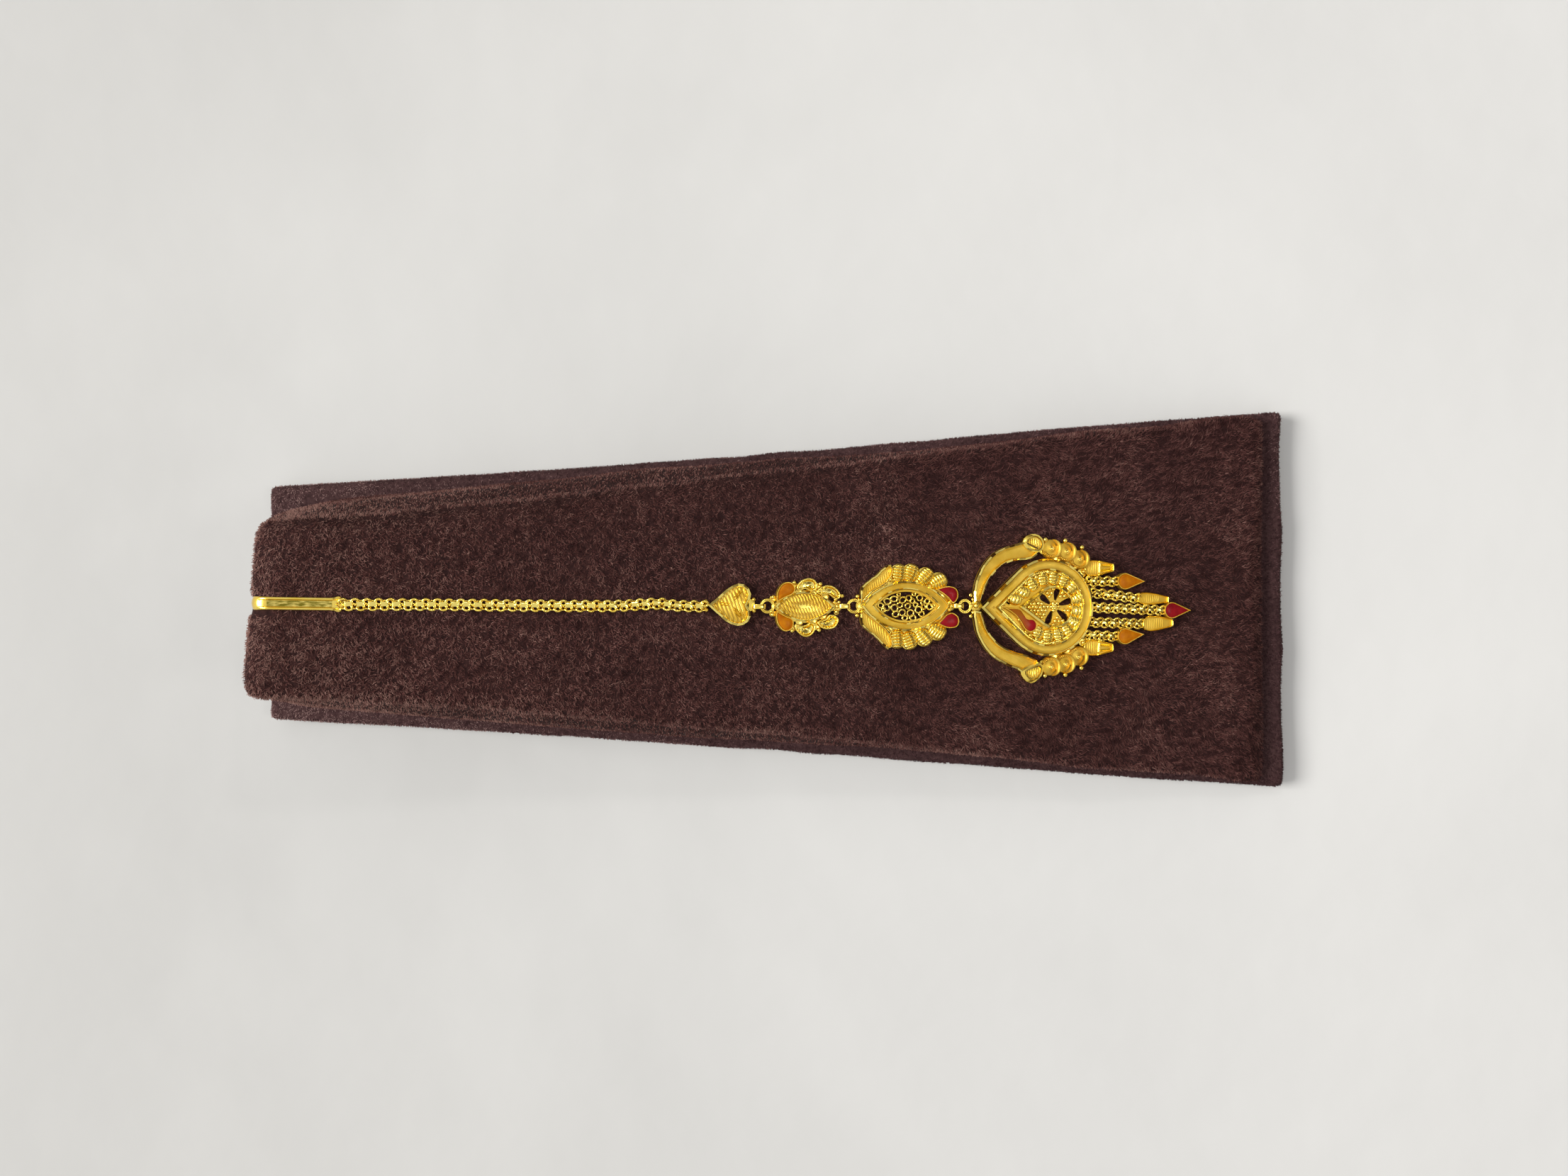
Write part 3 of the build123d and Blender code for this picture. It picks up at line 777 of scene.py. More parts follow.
def enamel_cell(name, node, outline, bulb, enamel, slot, foot=BED, floor=SHEET_TOP, top=1.2):
    """A cell of thin gold strip, filled with enamel that rises a little in the middle."""
    wall = rim(outline, 0.075, 0.085, top - foot, WALL, matte, 40, foot)
    base = plate(shrunk(outline, 0.05), foot, floor)
    levels = [(0.0, top - 0.14), (0.12, top - 0.07), (0.45, top - 0.02), (1.0, top)]
    made(name, [clad(dome(shrunk(outline, 0.145), levels, bulb, floor), enamel, 60)], slot, [node])
    return [wall, base]


def enamel_cells(link, enamel, slot, cells):
    """The upper and the lower enamelled cell of a link."""
    parts = []
    for side, (points, bulb) in zip(("upper", "lower"), cells):
        names = f"{link}_{side}_enamel", f"enamel_{link}_{side}"
        parts += enamel_cell(*names, tipped(points, 30), bulb, enamel, slot)
    return parts


def curled_leaf(points, bulb, stem, top=0.9):
    """A leaf cut from sheet: wire round its edge, a bright dish inside and fine beads on its stem."""
    outline = flowing(points, 26, True)
    parts = [plate(outline, BED, top - 0.1), rim(outline, 0.08, 0.15, 0.34, ROUND, polished, 60, top - 0.12)]
    levels = [(0.0, top + 0.02), (0.3, top + 0.26), (0.6, top + 0.2), (1.0, top + 0.08)]
    parts.append(clad(dome(shrunk(outline, 0.25), levels, bulb, top - 0.2), bright, 20))
    return parts + [beads(stem, 0.12, top + 0.17)]


def bridges(discs, top=0.6):
    """Small discs of sheet behind the joins, which hold neighbours together."""
    return [plate(drop(disc[2], disc[2] * 1.06, 14, disc[:2]), BED, top) for disc in discs]


def enamelled(name, spots, deep, pale, gloss, waver):
    """Enamel, mottled between two colours, with a gloss that varies and a slightly wavy surface."""
    enamel = Surface(name, {"Specular IOR Level": 0.06})
    mottle = enamel.grain(spots, detail=4.0, roughness=0.6).between(0.3, 0.7)
    enamel.drive("Base Color", enamel.mix(mottle, deep, pale))
    enamel.drive("Roughness", enamel.grain(1800.0) * gloss[0] + gloss[1])
    enamel.bump(enamel.grain(1500.0, detail=3.0), waver, 0.00004)
    return enamel


orange = enamelled(
    "orange_enamel", 1100.0, (0.38, 0.098, 0.002, 1), (0.52, 0.175, 0.003, 1), (0.2, 0.2), 0.25
)
parts = jump_ring(-1.31, -0.72)
outline = oval((-0.1, -0.75), (4.1, 1.28), (8.36, -0.88), (4.1, -2.9), 28)
parts += [plate(outline), plate(shrunk(outline, -0.3), BED, 0.5), cut_rim(outline, 0.13, 0.15, 0.42)]
WAVE, SWING = 0.85, 0.05
for start, end in chords(shrunk(outline, 0.26), 113, 0.42):
    way = unit(end - start)
    reach = np.linalg.norm(end - start)
    at = np.linspace(0, 1, max(int(reach / 0.2), 3))
    swing = SWING * np.sin(at * reach * 2 * math.pi / WAVE)
    line = start + (end - start) * at[:, None] + swing[:, None] * np.array([-way[1], way[0]])
    tall = 0.29 * np.minimum(1.0, 0.35 + 3 * np.minimum(at, 1 - at))
    tall = tall * (1 + 0.12 * np.sin(at * reach * 4 * math.pi / WAVE))
    middle = np.hypot((line[:, 0] - 4.2) / 1.15, (line[:, 1] + 0.85) / 0.38)
    tall = tall * np.clip(0.2 + 0.7 * (middle - 0.7), 0.2, 1.0)
    parts.append(clad(moulding(line, 0.18, tall, HALF_ROUND, SHEET_TOP - 0.06), matte, 60))
parts += enamel_cells("small", orange, "orange_enamel", [
    ([(0.0, -0.2), (0.02, 1.06), (0.58, 2.2), (1.5, 2.68), (2.36, 2.42), (2.68, 1.64), (2.3, 0.96),
      (1.5, 0.6), (0.71, 0.22)], (1.5, 1.65)),
    ([(0.0, -1.4), (-0.12, -2.33), (0.2, -3.45), (1.1, -4.3), (2.15, -4.02), (2.46, -3.12),
      (2.14, -2.5), (1.3, -2.15), (0.51, -1.7)], (1.15, -3.1)),
])
leaves = [
    ([(3.1, 1.5), (3.0, 2.2), (3.65, 2.88), (4.6, 3.2), (5.5, 2.98), (5.92, 2.22), (5.6, 1.5), (4.8, 1.42),
      (4.15, 1.8), (3.6, 1.55)], (5.1, 2.25),
     [(3.3, 1.85), (3.45, 2.25), (3.75, 2.1), (3.8, 2.6), (4.2, 2.35)]),
    ([(2.7, -3.35), (2.8, -4.1), (3.55, -4.86), (4.4, -5.12), (5.2, -4.72), (5.62, -3.95), (5.5, -3.3),
      (5.0, -3.05), (4.25, -3.5), (3.35, -3.6)], (4.75, -4.05),
     [(2.95, -3.7), (3.2, -4.15), (3.5, -3.95), (3.55, -4.5), (3.95, -4.7), (4.0, -4.1)]),
    ([(5.85, 1.25), (6.4, 1.85), (7.4, 2.2), (8.42, 1.95), (9.13, 1.28), (9.35, 0.66), (8.9, 0.22),
      (8.3, 0.42), (7.6, 0.95), (6.7, 0.85)], (8.3, 1.15),
     [(6.2, 1.35), (6.55, 1.6), (6.6, 1.15), (6.95, 1.8), (7.0, 1.3), (7.35, 1.6)]),
    ([(6.0, -3.05), (6.6, -3.85), (7.5, -4.05), (8.42, -3.85), (8.95, -3.17), (9.03, -2.58), (8.42, -2.1),
      (7.7, -2.1), (7.1, -2.7)], (7.9, -3.0),
     [(6.3, -3.2), (6.65, -3.6), (7.05, -3.82), (7.5, -3.88), (7.95, -3.82), (6.8, -3.1), (7.2, -3.2)]),
]
for points, bulb, stem in leaves:
    parts += curled_leaf(points, bulb, stem)
lines = [((7.3, -3.3), (8.7, -2.4)), ((3.9, -4.0), (5.3, -3.55)), ((4.4, 2.0), (5.6, 2.05))]
parts += [cuts(lines, 0.2, 0.3, 0.92), cuts([((7.85, 1.45), (9.0, 0.75))], 0.5, 0.34, 0.88, 0.1)]
small_beads = [
    (2.6, 2.6), (6.45, 2.4), (9.65, 0.68), (2.3, -4.25), (6.25, -4.2), (8.86, -1.6), (6.2, -3.15, 0.26),
    (6.35, 1.55, 0.26), (-0.46, 0.55), (-0.53, -1.94), (8.55, -0.25, 0.28), (8.95, -0.8, 0.34),
    (8.7, 0.2, 0.3), (9.2, -0.2, 0.26),
]
parts.append(beads(small_beads, 0.33, 0.72))
parts += bridges([
    (3.4, 1.4, 0.5), (5.6, 1.2, 0.6), (7.2, 0.6, 0.6), (3.4, -3.1, 0.55), (5.5, -2.9, 0.6),
    (7.0, -2.3, 0.6), (8.3, -0.9, 0.6), (-0.46, 0.3, 0.5), (-0.5, -1.8, 0.5), (2.7, 2.1, 0.55),
    (2.5, -3.9, 0.5), (6.2, 2.0, 0.55), (6.0, -3.7, 0.55), (9.0, -0.9, 0.7), (-0.25, -0.75, 0.45),
    (8.9, -1.7, 0.4),
])
made("small_link", parts, stands_for=["small_motif"])
made("small_loop", [strip_loop(9.1, 1.8, -0.8)])


# Medium link.  Two flat wire rims with a sandblasted channel between them hold an open window of
# twisted wire curls.  Wings spread from its head, four ribbed shells run down each side, and two
# red cells sit at its foot.
def ribbed_shell(ridges, depth):
    """A plump oval boss, pinched into cords across its length; half length, width and height 1."""
    rows = []
    for at in np.linspace(-1, 1, 6 * ridges + 1):
        swell = max(1 - abs(at) ** 2.5, 0.0) ** 0.46
        pinch = 1 - depth + depth * abs(math.sin(0.5 * math.pi * ridges * (at + 1))) ** 0.55
        around = np.linspace(0, math.pi, 9)
        row = [(at, -swell * math.cos(a) * (0.9 + 0.1 * pinch), swell * math.sin(a) * pinch) for a in around]
        rows.append(row + row[:1])
    return close_up(skin(rows))


def pierced(piece, outlines):
    """Saw openings through a sheet."""
    for outline in outlines:
        blank = sheet(outline, -1.0, 4.0, 0.01)
        cut = piece.modifiers.new("opening", "BOOLEAN")
        cut.operation = "DIFFERENCE"
        cut.object = blank
        deselect()
        bpy.context.view_layer.objects.active = piece
        bpy.ops.object.modifier_apply(modifier=cut.name)
        bpy.data.objects.remove(blank)
    return piece


red = enamelled(
    "red_enamel", 900.0, (0.16, 0.006, 0.010, 1), (0.33, 0.010, 0.014, 1), (0.15, 0.12), 0.2
)
parts = jump_ring(11.4, -0.77)
outline = oval((12.6, -0.75), (19.3, 2.8), (25.95, -0.8), (19.2, -4.36), 44)
window = oval((14.8, -0.75), (19.2, 1.3), (23.9, -0.82), (19.2, -2.95), 36)
inner = oval((14.25, -0.75), (19.25, 1.72), (24.4, -0.8), (19.2, -3.3), 40)
LOWER, CHANNEL = 0.57, 0.9
parts.append(clad(pierced(sheet(outline, BED, 0.6), [window]), polished))
parts.append(cut_rim(outline, 0.15, 0.17, 0.62, LOWER))
parts.append(clad(pierced(sheet(shrunk(outline, 0.22), LOWER, CHANNEL), [shrunk(inner, 0.12)]), matte))
parts.append(clad(pierced(sheet(shrunk(outline, -0.6), BED, 0.45), [window]), polished))
parts.append(cut_rim(inner, 0.0, 0.13, 0.58, LOWER, 0.5))
parts.append(rim(window, -0.16, 0.18, 0.24, WALL, matte, 40, LOWER))
WIRE, BEAD_PITCH = 0.128, 0.13
curl_spots = [
    (16.55, -0.1, 0.42, 1.35), (17.5, 0.25, 0.42, 1.25), (16.35, -1.0, 0.5, 1.0), (17.55, -1.05, 0.5, 1.1),
    (17.75, -1.95, 0.45, 1.15), (18.85, 0.1, 0.48, 1.1), (18.7, -1.75, 0.48, 1.0), (19.75, 0.35, 0.42, 1.1),
    (20.05, -1.85, 0.52, 1.0), (20.3, -0.05, 0.36, 1.0), (20.4, -2.5, 0.42, 1.1), (21.45, 0.4, 0.45, 1.0),
    (21.25, -1.35, 0.5, 1.0), (21.75, -1.95, 0.4, 1.1), (22.6, -0.1, 0.38, 1.0), (22.95, -0.9, 0.42, 1.1),
    (20.8, -0.62, 0.34, 1.0), (19.6, -0.8, 0.42, 1.0), (18.4, -0.65, 0.4, 1.0), (15.5, -0.7, 0.36, 1.2),
    (22.05, -0.95, 0.36, 1.0), (19.2, -2.55, 0.36, 1.1), (15.9, -1.35, 0.3, 1.0), (18.2, 0.85, 0.28, 1.0),
    (20.6, 0.95, 0.28, 1.0), (23.5, -0.75, 0.24, 1.2), (21.9, -0.35, 0.3, 1.0),
]
for along, across, radius, longer in curl_spots:
    count = int(radius * 2 * math.pi / BEAD_PITCH)
    model = ring(0, 0, 0, radius * 0.95, WIRE, count, (longer, 1.0, 1.0))
    knots = points_of(model).reshape(count, 10, 3)
    centre = knots.mean(axis=1, keepdims=True)
    knots = centre + (knots - centre) * np.where(np.arange(count) % 2, 1.2, 0.85)[:, None, None]
    put_points(model, knots.reshape(-1, 3))
    tilt = Matrix.Rotation(deal.uniform(-0.3, 0.3), 4, "X") @ Matrix.Rotation(deal.uniform(-0.3, 0.3), 4, "Y")
    spot = placed(along, across, deal.uniform(0.5, 0.75), deal.uniform(-30, 30)) @ np.array(tilt)
    parts.append(clad(scatter(model, [spot]), polished, 70))
wings = (
    ([(12.45, -0.2), (12.5, 1.74), (13.5, 2.75), (14.75, 3.65), (15.7, 4.6), (16.5, 5.15)],
     [(16.95, 5.15), (17.3, 4.4), (16.9, 3.3), (15.9, 2.25), (14.1, 1.25), (12.9, 0.0)]),
    ([(12.95, -1.35), (14.1, -2.4), (15.5, -3.4), (16.7, -4.6), (17.25, -6.1), (17.05, -6.85)],
     [(16.5, -7.05), (15.5, -6.15), (14.6, -5.2), (13.4, -4.3), (12.5, -3.3), (12.4, -1.3)]),
)
for edges in wings:
    wing = np.vstack([flowing(edge, 14) for edge in edges])
    parts += [plate(wing, BED, 0.7, matte), cut_rim(wing, 0.12, 0.14, 0.5, 0.65, 0.6)]
    parts.append(ribs(chords(shrunk(wing, 0.26), 100, 0.34, 0.02), 0.3, 0.06, 0.68))
shells = [(18.3, 3.95, 82), (20.1, 4.0, 66), (22.35, 3.5, 46), (24.3, 2.75, 26)]
shells += [(18.0, -5.6, -84), (19.85, -5.8, -68), (22.1, -5.35, -48), (24.15, -4.5, -28)]
spots = [placed(along, across, 0.5, turn, (1.36, 1.2, 0.74)) for along, across, turn in shells]
parts.append(clad(scatter(ribbed_shell(6, 0.32), spots), polished, 60))
parts += [plate(drop(1.42, 1.5, 16, (along, across)), BED, 0.62) for along, across, turn in shells]
parts += enamel_cells("medium", red, "red_enamel", [
    ([(23.75, 1.6), (24.87, 1.98), (25.95, 2.08), (26.85, 1.75), (27.2, 0.95), (27.05, 0.2),
      (26.4, -0.4), (25.5, 0.5), (24.6, 1.15)], (26.25, 1.0)),
    ([(24.05, -3.4), (24.7, -2.75), (25.4, -2.05), (26.3, -1.8), (27.1, -2.3), (27.35, -3.1),
      (26.95, -3.85), (25.8, -4.05), (24.8, -3.75)], (26.3, -2.9)),
])
medium_beads = [(16.95, 3.05), (16.65, -4.4), (11.95, 0.62), (11.88, -2.15), (25.95, -0.35), (26.0, -1.35)]
medium_beads += [(26.3, -0.85, 0.36), (12.2, 0.1, 0.26), (12.15, -1.6, 0.26)]
parts.append(beads(medium_beads, 0.33, 0.75))
parts += bridges([
    (12.5, -0.75, 0.75), (26.2, -0.85, 0.7), (16.9, 3.1, 0.5), (16.6, -4.4, 0.5), (21.1, 3.2, 0.95),
    (21.0, -4.8, 0.95), (19.1, 3.3, 0.9), (18.9, -4.9, 0.9), (23.3, 2.5, 0.9), (23.2, -4.2, 0.9),
    (17.2, 2.4, 0.7), (16.9, -4.0, 0.7), (25.0, 0.9, 0.7), (25.0, -2.5, 0.7),
])
made("medium_link", parts, stands_for=["medium_motif"])
made("medium_loop", [strip_loop(26.5, 1.7, -0.8)])


# Pendant.  A pear-shaped plate points at its ring: a faceted rim, a sandblasted channel, an inner
# rim, then a field of ribbed petals round a pear-shaped frame that is filled with granules and
# sawn through in five slots.  One comma of enamel runs from orange to red.
def pear(radius, tip, place, count):
    """The pear outline, its point towards the chain."""
    return drop(radius, tip, count, place, 180)


def with_flanks(outline, pieces):
    """The same outline with its two straight flanks divided."""
    first, last = outline[0], outline[-1]
    into = [first + (outline[1] - first) * share for share in np.arange(1, pieces) / pieces]
    back = [last + (first - last) * share for share in np.arange(1, pieces) / pieces]
    return np.vstack([[first], into, outline[1:], back])


def outward(along, across, hub=(42.5, -0.95)):
    """The angle of the way from the middle of the plate to a place."""
    return math.degrees(math.atan2(across - hub[1], along - hub[0]))


def out_of_slots(place):
    """Whether a place is clear of the five long slots."""
    for slot in slots[:5]:
        middle = slot.mean(axis=0)
        if np.abs(turned([place - middle], -outward(*middle)) / (1.2, 0.66)).max() <= 1.0:
            return False
    return True


HOLLOW = [(-1, 0), (-1, 0.95), (-0.6, 0.83), (0, 0.8), (0.6, 0.83), (1, 0.95), (1, 0)]
FIELD, CREST = 0.55, 1.42
LONG_SLOT = [(-1.0, -0.16), (-0.4, -0.34), (0.5, -0.52), (1.0, -0.4), (1.05, 0.2), (0.6, 0.5)]
LONG_SLOT += [(-0.3, 0.36), (-0.95, 0.16)]
NICK = [(-0.32, -0.12), (0.32, -0.18), (0.38, 0.12), (-0.25, 0.16)]
slots = []
for along, across in ((41.2, 0.05), (42.95, 0.95), (44.3, -0.35), (43.85, -2.1), (41.85, -2.55)):
    slots.append(turned(LONG_SLOT, outward(along, across)) + (along, across))
for along, across, turn in ((34.15, -1.55, -35), (34.65, -2.0, -35), (35.2, -0.4, -30)):
    slots.append(turned(NICK, turn) + (along, across))
outline = with_flanks(pear(7.25, 10.6, (41.4, -1.05), 38), 6)
inner = with_flanks(pear(5.78, 8.35, (41.4, -1.08), 30), 5)
middle = pear(3.2, 5.5, (42.45, -1.0), 14)
parts = jump_ring(28.35, -0.85)
parts.append(clad(pierced(sheet(outline, BED, 0.6), slots), matte))
parts.append(cut_rim(outline, 0.22, 0.23, CREST - FIELD, FIELD, 0.5))
parts.append(rim(outline, 0.94, 0.54, 1.22 - FIELD, HOLLOW, matte, 60, FIELD))
parts.append(cut_rim(inner, 0.14, 0.18, CREST - FIELD, FIELD, 0.5))
parts.append(rim(inner, 0.44, 0.16, 1.05 - FIELD, WALL, polished, 40, FIELD))
parts.append(cut_rim(middle, 0.2, 0.24, 1.25 - FIELD, FIELD, 0.5))
way = unit(outline[6] - outline[0])
for inset, first, last in ((1.12, 0.25, 0.75), (1.35, 0.45, 0.85)):
    flank = np.array([outline[0] * (1 - share) + outline[6] * share for share in (first, last)])
    parts.append(cuts([flank + np.array([-way[1], way[0]]) * inset], 0.16, 0.2, 1.12, 0.1))

petal_places = [
    (36.36, 0.22), (37.65, 1.3), (39.15, 2.36), (40.81, 3.13), (42.5, 3.3), (44.19, 2.88), (45.54, 1.85),
    (46.35, 0.22), (46.36, -1.57), (45.85, -3.25), (44.75, -4.45), (43.25, -5.15), (41.6, -5.32),
    (40.0, -4.78),
]
spots = []
for along, across in petal_places:
    turn = outward(along, across, (41.9, -1.07)) + deal.uniform(-8, 8)
    spots.append(placed(along, across, FIELD, turn, (1.12, 1.0, 0.8)))
parts.append(clad(scatter(ribbed_shell(4, 0.2), spots), polished, 40))
field_granules = [
    (36.54, 1.26), (37.97, 2.55), (39.59, 3.47), (41.51, 4.23), (43.55, 4.07), (45.54, 3.16),
    (46.66, 1.47), (47.07, -0.6), (46.95, -2.55), (46.07, -4.51), (44.6, -5.8), (42.44, -6.37),
    (40.64, -6.14), (38.67, -5.2), (38.8, 3.2, 0.29), (40.6, 4.0, 0.27), (42.6, 4.35, 0.29),
    (44.7, 3.75, 0.27), (46.2, 2.45, 0.27), (47.0, 0.45, 0.27), (47.15, -1.6, 0.27), (46.6, -3.7, 0.29),
    (45.4, -5.3, 0.29), (43.5, -6.2, 0.27), (41.5, -6.45, 0.27), (39.6, -5.8, 0.29), (37.2, 2.1, 0.27),
    (35.6, 0.75, 0.26), (34.9, 0.1, 0.29), (34.4, -0.6, 0.27), (36.9, -2.9, 0.27), (37.3, 0.27, 0.27),
    (38.4, 1.5, 0.27), (39.7, -5.2, 0.27), (37.9, -4.75, 0.27),
]
parts.append(beads(field_granules, 0.35, 0.85))
GRAIN_PITCH, GRAIN_ROW = 0.6, 0.53
grains = []
for row in range(-6, 7):
    for step in range(-8, 8):
        along = 42.1 + GRAIN_PITCH * step + (GRAIN_PITCH / 2 if row % 2 else 0.0)
        across = -1.0 + GRAIN_ROW * row
        in_round = np.hypot(along - 42.45, across + 1.0) < 2.7
        in_tip = along < 41.5 and abs(across + 1.0) < (along - 37.7) * 0.68
        if (in_round or in_tip) and out_of_slots((along, across)):
            shift = deal.uniform(-0.05, 0.05), deal.uniform(-0.05, 0.05)
            grains.append((along + shift[0], across + shift[1], deal.uniform(0.28, 0.32)))
parts.append(beads(grains, 0.27, 0.75))
eye = [(42.45 + 0.34 * math.cos(a), -0.95 + 0.34 * math.sin(a), 0.19) for a in np.linspace(0, 5.2, 6)]
parts.append(beads(eye + [(42.45, -0.95, 0.24)], 0.2, 0.95, bright))

comma = tipped([
    (34.35, -1.1), (35.6, -1.12), (36.97, -1.32), (37.6, -2.1), (38.1, -2.72), (39.0, -2.78), (39.62, -3.5),
    (39.35, -4.4), (38.5, -4.72), (37.66, -4.3), (37.08, -3.36), (36.3, -2.35), (35.3, -1.6),
], 36)
comma_enamel = Surface("comma_enamel", {"Specular IOR Level": 0.06})
redness = comma_enamel.along_x() * 1000.0 + comma_enamel.grain(900.0) * 1.6 - 0.8
colour = comma_enamel.mix(redness.between(36.6, 37.9), (0.30, 0.085, 0.008, 1), (0.30, 0.010, 0.014, 1))
comma_enamel.drive("Base Color", colour)
comma_enamel.drive("Roughness", comma_enamel.grain(1800.0) * 0.2 + 0.12)
parts += enamel_cell(
    "pendant_comma_enamel", "enamel_pendant", comma, (38.5, -3.6), comma_enamel, "red_enamel", 0.5, 0.8, 1.22
)


# Pendant, its arms.  From the ring a hollow arm curves round each side of the plate.  It is ribbed
# across, edged with cut facets, and ends in a lobe that folds over.
arms = (
    ([(29.75, -0.3), (29.75, 1.5), (30.25, 3.4), (31.2, 5.2), (32.6, 6.75), (34.4, 7.8), (36.9, 8.45),
     (37.6, 8.75)], [(40.4, 7.5), (38.48, 6.15), (35.32, 5.75), (32.85, 4.1), (31.45, 1.95), (30.8, -0.1)],
     [(37.3, 8.6), (37.75, 9.4), (38.7, 9.85), (39.8, 9.75), (40.65, 9.0), (40.8, 8.0), (40.3, 7.3),
      (39.2, 7.15), (38.1, 7.55)]),
    ([(30.8, -1.7), (31.75, -4.35), (33.6, -6.5), (35.9, -7.62), (37.9, -8.15), (40.4, -9.3)],
     [(37.3, -10.75), (36.9, -10.35), (34.7, -9.5), (32.2, -7.9), (30.4, -5.3), (29.75, -2.9), (29.7, -1.5)],
     [(37.0, -10.4), (37.2, -11.2), (37.9, -12.05), (38.8, -12.35), (39.7, -11.9), (40.4, -11.2),
      (40.75, -10.1), (40.3, -9.5), (38.8, -9.55)]),
)
ARM_STEPS = 60
for (first, second, lobe), upper in zip(arms, (True, False)):
    arm = np.vstack([flowing(first, 17), flowing(second, 14)])
    parts += [plate(arm, BED, 0.7, matte), cut_rim(arm, 0.16, 0.18, 0.62, 0.65, 0.6)]
    sides = [flowing(first, ARM_STEPS), flowing(second[::-1], ARM_STEPS)]
    outer, inner = sides if upper else sides[::-1]
    lines = []
    for number in range(3, ARM_STEPS - 4):
        start, end = outer[number], inner[min(number + 2, ARM_STEPS - 1)]
        lines.append((start + 0.18 * (end - start), start + 0.82 * (end - start)))
    parts.append(ribs(lines, 0.3, 0.07, 0.68))
    lobe = flowing(lobe, 15, True)
    centre = lobe.mean(axis=0)
    levels = [(0.0, 1.1), (0.18, 1.3), (0.3, 1.34), (0.36, 1.12), (0.6, 1.05), (1.0, 1.02)]
    parts.append(clad(dome(lobe, levels, centre), polished, 25))
    parts.append(ribs(chords(lobe * 0.6 + centre * 0.4, 92, 0.36), 0.28, 0.12, 1.0))


# Pendant, its side ornaments.  Three scallops a side, each a shallow cone with a wire ring and a
# swept tail, then a leaf end with a ribbed hollow; beads stand in the gaps.
END_LEAF = [(3.75, 0.62), (1.6, 1.12), (0.4, 1.24), (-0.6, 1.08), (-1.2, 0.2), (-1.0, -0.8), (-0.1, -1.25)]
END_LEAF += [(1.3, -1.15), (3.75, -0.62)]


def cut_leaf(bulb, turn, stretch, reach, tall, top=1.25):
    """A cast leaf: a smooth rim round a sunk field, ribbed across as far as it reaches."""
    leaf = turned(np.array(END_LEAF) * stretch, turn) + bulb
    straights = [evenly(leaf[ends], count)[1:] for ends, count in (([-2, -1], 5), ([-1, 0], 4), ([0, 1], 5))]
    outline = np.vstack([flowing(leaf[1:-1], 16), *straights])[:-1]
    parts = [plate(outline, BED, top - 0.34, matte)]
    parts.append(rim(outline, 0.12, 0.15, top - 0.45, HALF_ROUND, polished, 60, 0.45))
    flat = turned(shrunk(outline, 0.26) - bulb, -turn)
    lines = [line for line in chords(flat, 90, 0.31, 0.02) if np.mean(line, axis=0)[0] < reach]
    return parts + [ribs([turned(line, turn) + bulb for line in lines], 0.26, tall, top - 0.36)]


def cut_tip(bulb, turn):
    """The end of a leaf filed to three bright slopes, with a bar that closes its ribbed hollow."""
    slopes = [((1.55, 0.42), (3.5, 0.26)), ((1.55, -0.42), (3.5, -0.26)), ((1.3, -0.85), (1.45, 0.9))]
    return cuts([turned(np.array(line), turn) + bulb for line in slopes], 0.42, 0.34, 0.86)


scallops = [(42.0, 7.75, 100), (44.4, 7.3, 80), (46.5, 6.2, 62)]
scallops += [(41.9, -9.95, -100), (44.2, -9.55, -82), (46.3, -8.5, -64)]
levels = [(1.0, BED, 0.0), (1.0, 0.6, 0.25), (0.9, 0.78, 0.34), (0.62, 0.84, 0.12), (0.32, 1.08, 0.03)]
levels += [(0.0, 1.26, 0.0)]
tails = []
spiral = np.linspace(0, 1, 27)
for along, across, turn in scallops:
    hand = 1 if turn > 0 else -1
    angle = np.radians(turn) + hand * (math.radians(-75) + 2 * math.pi * spiral)
    rows = []
    for reach, level, curl in levels:
        radius = reach * (1.3 + 0.36 * spiral)
        lift = level + curl * spiral ** 1.5
        rows.append(np.column_stack([along + radius * np.cos(angle), across + radius * np.sin(angle), lift]))
    rows = np.array(rows)
    parts.append(clad(close_up(skin(np.concatenate([rows, rows[:, :1]], 1))), matte, 50))
    tails += [(rows[3, number, :2], rows[2, number, :2]) for number in range(13, 27)]
    crest = np.radians(hand * -10 + np.linspace(-95, 95, 13))
    arc = np.column_stack([along + 1.32 * np.cos(crest), across + 1.32 * np.sin(crest)])
    width = 0.05 + 0.27 * np.cos(np.linspace(-1.5, 1.5, 13))
    parts.append(clad(moulding(arc, width, 0.55, HALF_ROUND, 0.95), matte, 50))
parts.append(ribs(tails, 0.17, 0.2, 0.98))
spots = [placed(along, across, 1.2) for along, across, turn in scallops]
parts.append(clad(scatter(ring(0, 0, 0, 0.28, 0.08, 14), spots), polished, 60))
parts.append(beads([(along, across, 0.2) for along, across, turn in scallops], 0.2, 1.3, bright))
side_beads = [
    (41.08, 9.06, 0.38), (44.28, 8.95, 0.38), (46.99, 7.95, 0.38), (41.0, -11.26, 0.38),
    (44.28, -11.2, 0.38), (46.88, -10.2, 0.38), (43.3, 6.05, 0.26), (45.9, 4.85, 0.3), (29.23, 0.79),
    (29.23, -2.33), (29.6, 0.15, 0.3), (29.6, -1.75, 0.3), (30.1, -0.8, 0.42), (29.4, -0.8, 0.3),
    (47.3, 4.3, 0.34), (47.2, -6.4, 0.34),
]
parts.append(beads(side_beads, 0.32, 0.8))
for side, bulb, turn in ((1, (48.4, 4.8), 2), (-1, (48.3, -7.2), 0)):
    parts += cut_leaf(bulb, turn, (1, side), 1.3, 0.13) + [cut_tip(bulb, turn)]
parts += bridges([
    (47.2, 4.2, 0.8), (47.3, -6.2, 0.8), (43.0, 6.3, 0.8), (45.0, 5.3, 0.8), (42.9, -8.4, 0.8),
    (45.0, -7.6, 0.8), (40.9, 7.6, 0.8), (40.9, -9.7, 0.8), (30.2, -0.8, 0.9),
], 0.65)
